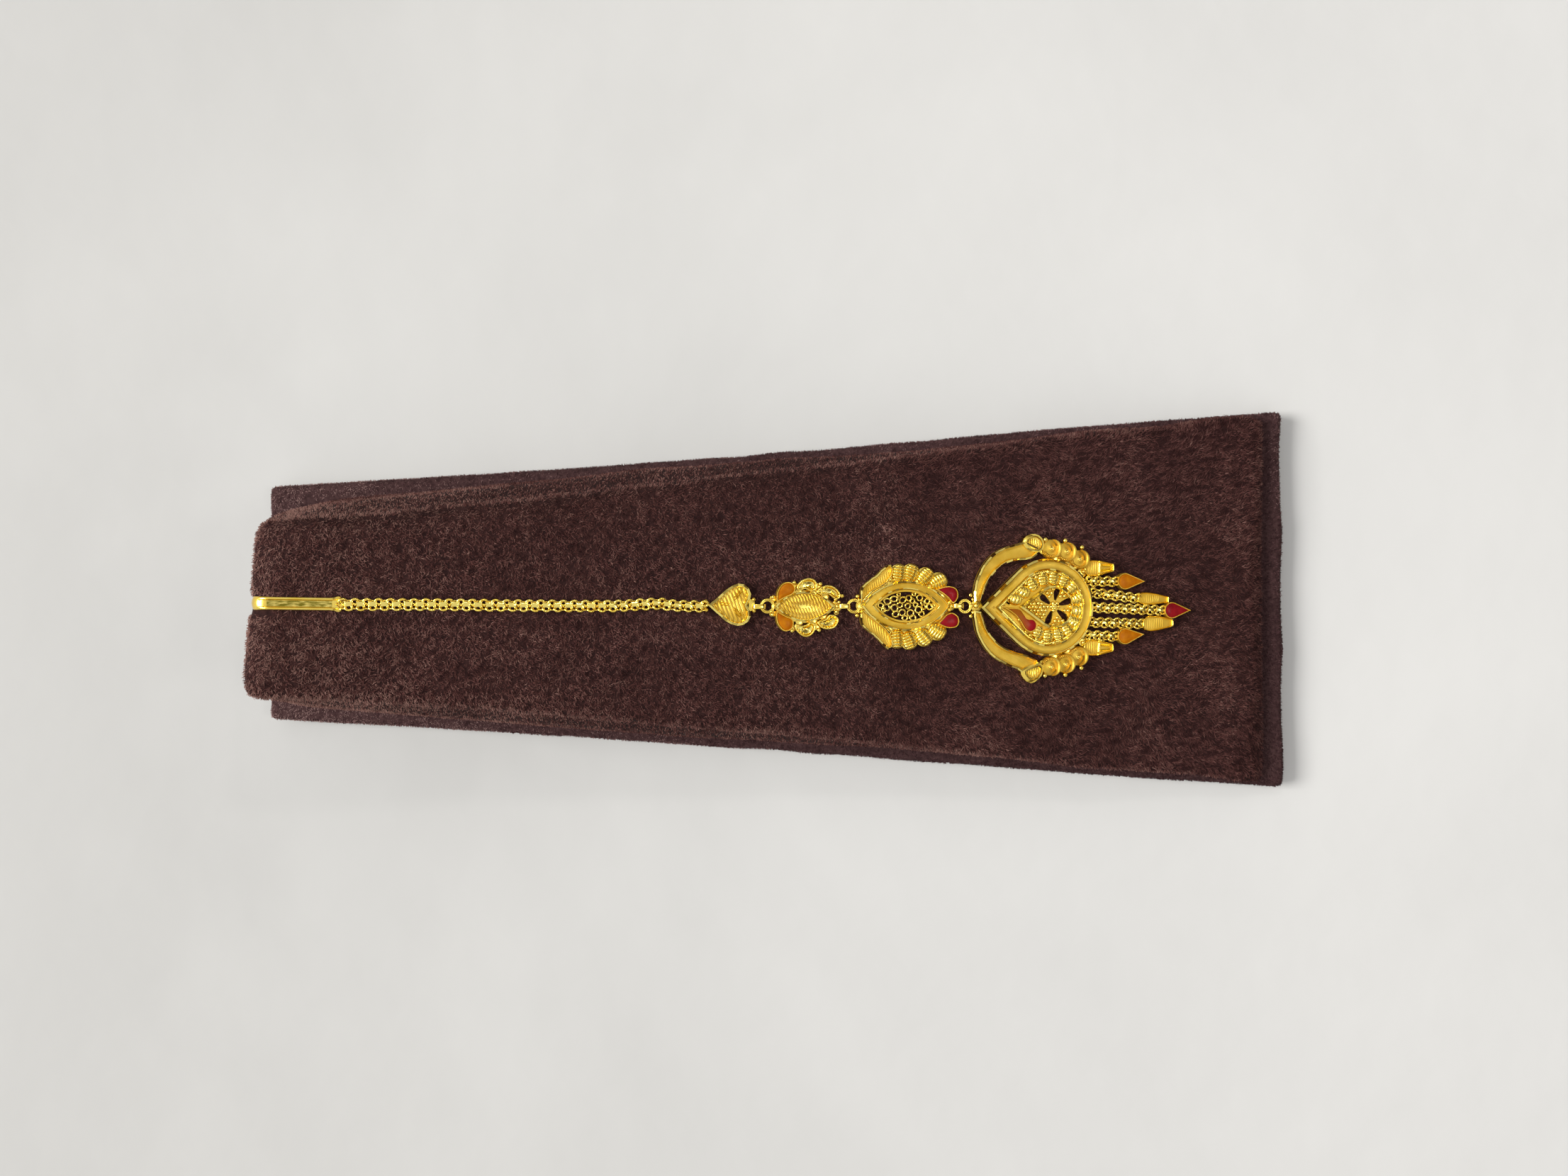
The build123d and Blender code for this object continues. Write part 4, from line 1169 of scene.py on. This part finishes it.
made("pendant_plate", parts, stands_for=["pendant"])


# Drops.  Five short chains hang from the pendant's foot.  The first, third and last end in an
# enamelled cell, the other two in a cut gold leaf.

# For each: the chain's two ends, the half width, length and turn of what hangs on it, its enamel.
hangings = [
    ((48.1, 2.83), (52.6, 2.83), 1.24, 3.3, 0.0, orange),
    ((48.75, 1.11), (56.2, 0.25), 0.97, 4.0, -3.0, None),
    ((49.0, -1.1), (60.4, -1.6), 1.25, 3.2, 0.0, red),
    ((48.6, -3.32), (56.8, -3.62), 1.2, 3.9, 1.5, None),
    ((47.9, -5.3), (52.6, -5.5), 1.22, 3.2, 5.0, orange),
]
for number, (start, end, radius, tip, turn, enamel) in enumerate(hangings, start=1):
    route = [start, tuple(np.mean([start, end], 0)), end]
    woven_chain(f"drop_{number}_links", f"drop_chain_{number}", route, 0.95, 1.47)
    bulb = (end[0] + radius + 0.1, end[1] + 0.02)
    if enamel:
        cell = with_flanks(drop(radius, tip, 18, bulb, turn), 3)
        names = f"drop_{number}_enamel", f"enamel_drop_{number}"
        slot = "red_enamel" if enamel is red else "orange_enamel"
        parts = enamel_cell(*names, cell, bulb, enamel, slot, BED, 0.8, 1.25)
    else:
        parts = cut_leaf(bulb, turn, (tip / 3.75, radius / 1.25), 2.4, 0.045)
    parts.append(beads([(bulb[0] - radius - 0.12, bulb[1], 0.3)], 0.3, 0.8))
    made(f"drop_{number}_end", parts, stands_for=[f"drop_{number}"])


# Stand, its pad.  A wedge of board under thin wadding, its cover drawn tight and tucked in at the
# foot.  The cover swells a little between the edges, but its sloping face stays flat.
def suede_skin(name, low, high):
    """The skin under the nap, darker between its raised streaks, painted shade in the grooves, with some tone
    that varies at random.
    """
    skin = Surface(name, {"Roughness": 0.95, "Specular IOR Level": 0.12})
    streaks = skin.grain(1500.0, detail=4.0)
    # Darker where the streaks' bump is low: painted shade in the grooves; the coarser grain adds random tone.
    depth = streaks.between(0.35, 0.68) * 0.75 + skin.grain(120.0, detail=2.0).between(0.3, 0.7) * 0.25
    skin.drive("Base Color", skin.mix(depth, low, high))
    skin.bump(streaks, 0.6, 0.0001)
    return skin


def drift(points, size, seed):
    """A smooth random value at each point, about -1 to 1, whose swells are a given size across."""
    waves = np.random.default_rng(seed)
    ways = unit(waves.normal(size=(9, 3))) * (2 * math.pi / size) * waves.uniform(0.45, 1.3, (9, 1))
    return np.sin(np.asarray(points) @ ways.T + waves.uniform(0, 2 * math.pi, 9)).sum(1) / 3.0


def block(name, corners, edge, grain):
    """A solid from eight corners in millimetres, upper four first, with round edges and an even mesh."""
    deselect()
    bpy.ops.mesh.primitive_cube_add(size=2.0)
    piece = bpy.context.object
    piece.name = name
    signs = np.sign(points_of(piece))
    order = [int((z < 0) * 4 + (x > 0) * 2 + (y < 0)) for x, y, z in signs]
    put_points(piece, np.array(corners, float)[order] * MM)
    edit(piece)
    bpy.ops.mesh.bevel(offset=edge * MM, segments=4, affect="EDGES")
    bpy.ops.object.mode_set(mode="OBJECT")
    piece.data.remesh_voxel_size = grain * MM
    bpy.ops.object.voxel_remesh()
    return piece


def on_face(points):
    """Places as along, across and lift on the ramp's face."""
    onto = np.array(FACE.inverted())
    return points @ onto[:3, :3].T + onto[:3, 3]


pad_suede = suede_skin("pad_suede", (0.016, 0.0062, 0.0060, 1), (0.043, 0.0175, 0.0158, 1))
MOST_SWELL, SETTLE_FRAMES, HOOK_Y = 0.9 * MM, 20, -0.46
pad = block(
    "ramp_pad_cover",
    [
        (-68.1, 10.8, 37.6), (-69.9, -12.5, 38.0), (77.5, 29.9, 6.1), (78.2, -29.2, 6.0),
        (-77.0, 14.5, 4.9), (-77.2, -15.0, 4.9), (77.8, 29.9, 4.9), (78.4, -29.3, 4.9),
    ],
    1.2, 2.4,
)
start = points_of(pad)
wadding = pad.modifiers.new("wadding", "CLOTH")
wadding.settings.use_pressure = True
wadding.settings.uniform_pressure_force = 4.0
wadding.settings.effector_weights.gravity = 0.0
wadding.point_cache.frame_end = SETTLE_FRAMES
for step in range(1, SETTLE_FRAMES + 1):
    bpy.context.scene.frame_set(step)
bpy.ops.object.modifier_apply(modifier="wadding")
bpy.context.scene.frame_set(1)
swell = points_of(pad) - start
reach = np.linalg.norm(swell, axis=1, keepdims=True)
put_points(pad, start + swell * np.minimum(1.0, MOST_SWELL / np.maximum(reach, 1e-9)))
pad.modifiers.new("finer", "SUBSURF").levels = 1
pad.modifiers["finer"].render_levels = 1
bpy.ops.object.modifier_apply(modifier="finer")
shape = on_face(points_of(pad))
shape[:, 2] = np.minimum(shape[:, 2], 0.04 * drift(shape, 11.0, 21) - 0.05)
shape = shape @ np.array(FACE)[:3, :3].T + np.array(FACE)[:3, 3]
tuck = 1 - np.clip((shape[:, 2] - FOOT_Z * MM) / (2.6 * MM), 0, 1)
shape[:, 1] -= np.sign(shape[:, 1]) * np.minimum(0.8 * MM, abs(shape[:, 1])) * tuck * tuck
ripple = 0.22 * MM * drift(shape / MM, 16.0, 5) * np.clip(1 - shape[:, 2] / (30 * MM), 0.2, 1)
shape[:, 1] += ripple * np.sign(shape[:, 1]) * (abs(shape[:, 1]) > 8 * MM)
waist = np.clip(1 - ((shape[:, 0] / MM + 18) / 60) ** 2, 0, 1) * np.clip(abs(shape[:, 1]) / (10 * MM), 0, 1)
shape[:, 1] -= np.sign(shape[:, 1]) * (0.4 * MM + 0.5 * MM * tuck) * waist
from_hook = ((shape[:, :2] / MM - (-70.0, HOOK_Y)) / (2.8, 1.7)) ** 2
dent = np.exp(-from_hook.sum(1)) * (shape[:, 2] > 30 * MM)
shape += dent[:, None] * np.array([0.3, 0, -0.35]) * MM
shape[:, 2] = np.maximum(shape[:, 2], 4.05 * MM)
put_points(pad, shape)
clad(pad, pad_suede, 60)
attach(pad, "root")
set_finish(pad, "suede")
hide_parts("ramp_pad")


# Stand, its board.  A flat tapered board wrapped in the same suede, its edges rounded by the wrap.
board_suede = suede_skin("board_suede", (0.030, 0.0135, 0.0140, 1), (0.078, 0.040, 0.039, 1))
board = block(
    "base_board_cover",
    [
        (-80.6, 17.9, 3.9), (-80.7, -19.0, 3.9), (80.5, 29.9, 3.9), (80.9, -29.9, 3.9),
        (-80.6, 18.0, 0.0), (-80.9, -19.1, 0.0), (80.6, 29.9, 0.0), (81.0, -30.0, 0.0),
    ],
    0.8, 1.0,
)
shape = points_of(board)
away = unit(shape[:, :2] - np.array([0.0, -0.2]) * MM)
shape[:, :2] += away * (0.12 * MM * drift(shape / MM, 9.0, 8))[:, None]
drawn = np.where(shape[:, 1] > 0, 0.6, -0.4) * MM
shape[:, 1] -= drawn * np.clip(1 - ((shape[:, 0] / MM + 15) / 60) ** 2, 0, 1)
shape[:, 2] = np.maximum(shape[:, 2] + 0.05 * MM * drift(shape / MM, 12.0, 9), 0.0)
put_points(board, shape)
clad(board, board_suede, 60)
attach(board, "root")
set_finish(board, "suede")
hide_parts("base_board")


# Stand, its nap.  Fine tapered fibres lie over the skin, sown one by one and brushed in drifts.
# They are pressed down under the jewel, left out on the back wall where the hook runs down, and
# stand out past the edges as a fuzz.
def suede_nap(name, low, mid, high):
    """Nap whose fibres are painted dark at the root and paler at the tip, painted shade among the roots, with
    a few bleached ones.
    """
    nap = Surface(name, {"Specular IOR Level": 0.05})
    shade = Value(nap.tree, nap.node("ShaderNodeAttribute", {"attribute_name": "shade"}, {}).outputs["Fac"])
    low_half = nap.mix(shade.between(0.0, 0.5), low, mid)
    nap.drive("Base Color", nap.mix(shade.between(0.5, 1.0), low_half, high))
    nap.drive("Roughness", shade * 0.3 + 0.62)
    return nap


def triangles(piece):
    """The corners of a piece's triangles as an array."""
    piece.data.calc_loop_triangles()
    picked = np.empty(len(piece.data.loop_triangles) * 3, int)
    piece.data.loop_triangles.foreach_get("vertices", picked)
    return points_of(piece)[picked.reshape(-1, 3)]


def sown(corners, count):
    """Random points spread evenly over triangles, with the way each triangle faces."""
    normals = np.cross(corners[:, 1] - corners[:, 0], corners[:, 2] - corners[:, 0])
    area = np.linalg.norm(normals, axis=1)
    chosen = deal.choice(len(corners), count, p=area / area.sum())
    first, second = deal.random((2, count, 1))
    folded = first + second > 1
    first, second = np.where(folded, 1 - first, first), np.where(folded, 1 - second, second)
    corner, along, beside = corners[chosen].transpose(1, 0, 2)
    return corner + first * (along - corner) + second * (beside - corner), unit(normals[chosen])


CELLS, LANES = np.array([320, 120]), 64


def cell_of(points):
    """The half millimetre cell of the face that each place along and across falls in."""
    return tuple(np.clip((points[:, :2] * 2 + CELLS / 2).astype(int), 0, CELLS - 1).T)


def under_jewel():
    """The cells of the face that the jewel covers, widened by one."""
    cells = np.zeros(CELLS, bool)
    for piece in list(bpy.context.scene.objects):
        if piece.type == "MESH" and piece.get("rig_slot", "suede") != "suede":
            spots, _ = sown(triangles(piece), 9000)
            cells[cell_of(on_face(spots))] = True
    wider = cells.copy()
    for step in ((1, 0), (-1, 0), (0, 1), (0, -1)):
        wider |= np.roll(cells, step, (0, 1))
    return wider


def brushed(spots):
    """The way that the nap lies at each place: down the walls, and fanned out to the right."""
    x, y = (spots[:, :2] / MM).T
    fan = np.degrees(np.arctan2(y * 1.6, 45.0))
    turn = np.interp(x, (-70, -35, 10, 45, 80), (-96, -80, -62, -12, 0)) + fan * np.clip(x / 50, 0, 1)
    turn = np.radians(turn + 30 * drift(spots / MM, 7.5, 31) + 26 * drift(spots / MM, 2.2, 32))
    return np.column_stack([np.cos(turn), np.sin(turn), np.full(len(turn), -0.25)])


# The half width of the pad's foot and of its face at X 0, how fast each widens, and where it ends.
FOOT_HALF, FOOT_FLARE, FOOT_END = 21.2, 0.0995, 77.8
TOP_HALF, TOP_FLARE, TOP_END = 16.8, 0.117, 75.5


def paleness(spots, steep, lift, tint, clump):
    """How pale each fibre is, from 0 to 1: its own tone, varying at random and from tuft to tuft, plus
    painted light and shade.
    """
    x, y, z = (spots / MM).T
    tone = tint + 0.06 * drift(spots / MM, 14.0, 41) + deal.normal(0, 0.1, len(spots))
    # Dark lines between the tufts are painted shade; the tufts' own tone varies at random.
    tone += 0.22 - 0.36 * abs(drift(spots / MM * clump, 1.15, 42))
    # The walls are painted dark at the foot, painted shade, and pale near the top, painted sheen.
    up_wall = np.clip((z - 4.4) / (18.8 - x * math.tan(SLOPE)), 0, 1)
    tone += np.clip(steep * 1.3, 0, 1) * np.interp(up_wall, (0, 0.25, 0.6, 1), (0.1, -0.12, 0.2, 0.24))
    # The high end is painted paler, most of all at its edge and on the near side: painted light and sheen.
    tone += 0.13 * np.clip(-(x + 30) / 30, 0, 1) + 0.1 * np.clip(-(x + 63) / 5, 0, 1)
    tone += 0.08 * np.clip(-(y + 12) / 8, 0, 1) * np.clip(-x / 40, 0, 1)
    # The board is painted dark in the crease along the pad, the pad's painted shadow, and at the near right,
    # painted shade.
    from_pad = np.maximum(abs(y) - FOOT_HALF - FOOT_FLARE * x, x - FOOT_END)
    on_board = z < 4.5
    tone -= 0.34 * np.exp(-np.maximum(from_pad, 0) / 0.5) * on_board
    tone -= 0.2 * on_board * (y < 0) * np.clip((x + 10) / 50, 0, 1)
    # The face is painted pale along its edges, where the cover swells highest: painted sheen.
    to_edge = np.maximum(abs(y) - TOP_HALF - TOP_FLARE * x, x - TOP_END)
    tone += 0.13 * np.clip(to_edge / 2.2, 0, 1) * (lift > -0.0015)
    return np.clip(tone, 0.05, 0.85) + 0.6 * (deal.random(len(spots)) > 0.9996)


def napped(name, corners, count, length, lift, tint, nap, clump):
    """Sow fibres over triangles; each is a bent blade of three faces that narrows to its tip."""
    spots, out = sown(corners, count)
    x, y, z = (spots / MM).T
    clear = (x > -65.5) | (abs(y - HOOK_Y) > 1.25) | (z < 24)
    spots, out = spots[clear], out[clear]
    count = len(spots)
    steep = 1 - abs(out[:, 2:])
    way = brushed(spots) + steep * steep * (0, 0, -4.0)
    way = unit(way - out * (way * out).sum(1, keepdims=True))
    beside = np.cross(out, way)
    way = unit(way + out * 0.8 * steep)
    laid_out = on_face(spots)
    tone = paleness(spots, steep[:, 0], laid_out[:, 2], tint, clump)
    long = length * MM * deal.uniform(0.5, 1.3, (count, 1)) * (1 - 0.5 * steep)
    wide = 0.047 * MM * deal.uniform(0.7, 1.25, (count, 1))
    rise = lift * MM * deal.uniform(0.2, 1.0, (count, 1)) ** 1.4 * (1 + 0.4 * steep)
    pressed = covered[cell_of(laid_out)] & (laid_out[:, 2] > -0.6)
    rise[pressed] = np.minimum(rise[pressed], 0.1 * MM)
    waver = np.interp(spots[:, 0] / MM, (10, 50), (0.7, 0.4))[:, None]
    heading = deal.normal(0, 0.6, (count, 1)) * waver
    place, rows = spots - out * 0.03 * MM, []
    # Each fibre is painted darker at its root and paler at its tip, painted shade down among the fibres.
    for share, height, width, paler_with_painted_light in ((0, 0, 1, -0.12), (0.5, 1, 1, 0.02), (0.5, 0.8, 0, 0.1)):
        heading = heading + deal.normal(0, 1.0, (count, 1)) * waver * (share > 0)
        place = place + long * share * (way * np.cos(heading) + beside * np.sin(heading))
        side = (beside * np.cos(heading) - way * np.sin(heading)) * wide * width
        for half in (-1, 1) if width else (0,):
            rows.append((place + out * rise * height + side * half, tone + paler_with_painted_light))
    places = np.stack([row[0] for row in rows], 1).reshape(-1, 3)
    places[:, 2] = np.maximum(places[:, 2], 0.02 * MM)
    tones = np.clip(np.stack([row[1] for row in rows], 1), 0.0, 1.0)
    blade = np.array([0, 2, 3, 0, 3, 1, 2, 4, 3])
    faces = (5 * np.arange(count)[:, None] + blade).reshape(-1)
    mesh = bpy.data.meshes.new(name)
    mesh.vertices.add(len(places))
    mesh.vertices.foreach_set("co", places.ravel())
    mesh.loops.add(len(faces))
    mesh.loops.foreach_set("vertex_index", faces)
    mesh.polygons.add(len(faces) // 3)
    mesh.polygons.foreach_set("loop_start", np.arange(0, len(faces), 3))
    mesh.update(calc_edges=True)
    mesh.attributes.new("shade", "FLOAT", "POINT").data.foreach_set("value", tones.ravel())
    # On the flat map a fibre runs by its paleness, and stands in one of so many lanes.
    lanes = (np.arange(count) % LANES)[:, None] / LANES + np.array([0.001, 0.0146, 0.001, 0.0146, 0.008])
    spread = np.stack([tones, lanes], 2).reshape(-1, 2)
    mesh.uv_layers.new(name="OFBake").data.foreach_set("uv", spread[faces].ravel())
    piece = bpy.data.objects.new(name, mesh)
    bpy.context.scene.collection.objects.link(piece)
    clad(piece, nap, 0)
    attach(piece, "root")
    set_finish(piece, "suede")


def middles_and_ways(corners):
    """The middle of each triangle, and the way it faces."""
    normals = np.cross(corners[:, 1] - corners[:, 0], corners[:, 2] - corners[:, 0])
    return corners.mean(1), unit(normals)


pad_nap = suede_nap(
    "pad_nap", (0.018, 0.0062, 0.0064, 1), (0.096, 0.0385, 0.0335, 1), (0.29, 0.165, 0.135, 1)
)
board_nap = suede_nap(
    "board_nap", (0.024, 0.0095, 0.0105, 1), (0.098, 0.048, 0.049, 1), (0.32, 0.20, 0.18, 1)
)
covered = under_jewel()
skin_of_pad = triangles(pad)
middle, facing = middles_and_ways(skin_of_pad)
on_top = (on_face(middle)[:, 2] > -2.2) & (facing[:, 2] > 0.2)
upper = middle[:, 0] < 18 * MM
walls = ~on_top & (facing[:, 2] > -0.5) & (middle[:, 2] > FOOT_Z * MM)
# For each: how many fibres, how long and how high they are, how pale, and the shape of a tuft.
# The upper face gets a paler tint than the lower, painted light that falls off down the slope; the walls a
# paler one too, painted sheen.
napped("pad_nap_upper", skin_of_pad[on_top & upper], 62000, 0.66, 0.26, 0.355, pad_nap, (1, 0.6, 1))
napped("pad_nap_lower", skin_of_pad[on_top & ~upper], 64000, 0.86, 0.25, 0.265, pad_nap, (0.4, 1, 1))
napped("pad_nap_walls", skin_of_pad[walls], 52000, 0.5, 0.2, 0.30, pad_nap, (1, 1, 1))
skin_of_board = triangles(board)
middle, facing = middles_and_ways(skin_of_board)
under_pad = abs(middle[:, 1]) < (15.5 * MM + (middle[:, 0] + 80 * MM) * 0.069)
under_pad &= (abs(middle[:, 0]) < 75.5 * MM) & (facing[:, 2] > 0.5)
showing = (facing[:, 2] > -0.4) & ~under_pad
napped("board_nap", skin_of_board[showing], 42000, 0.45, 0.16, 0.33, board_nap, (1, 1, 1))
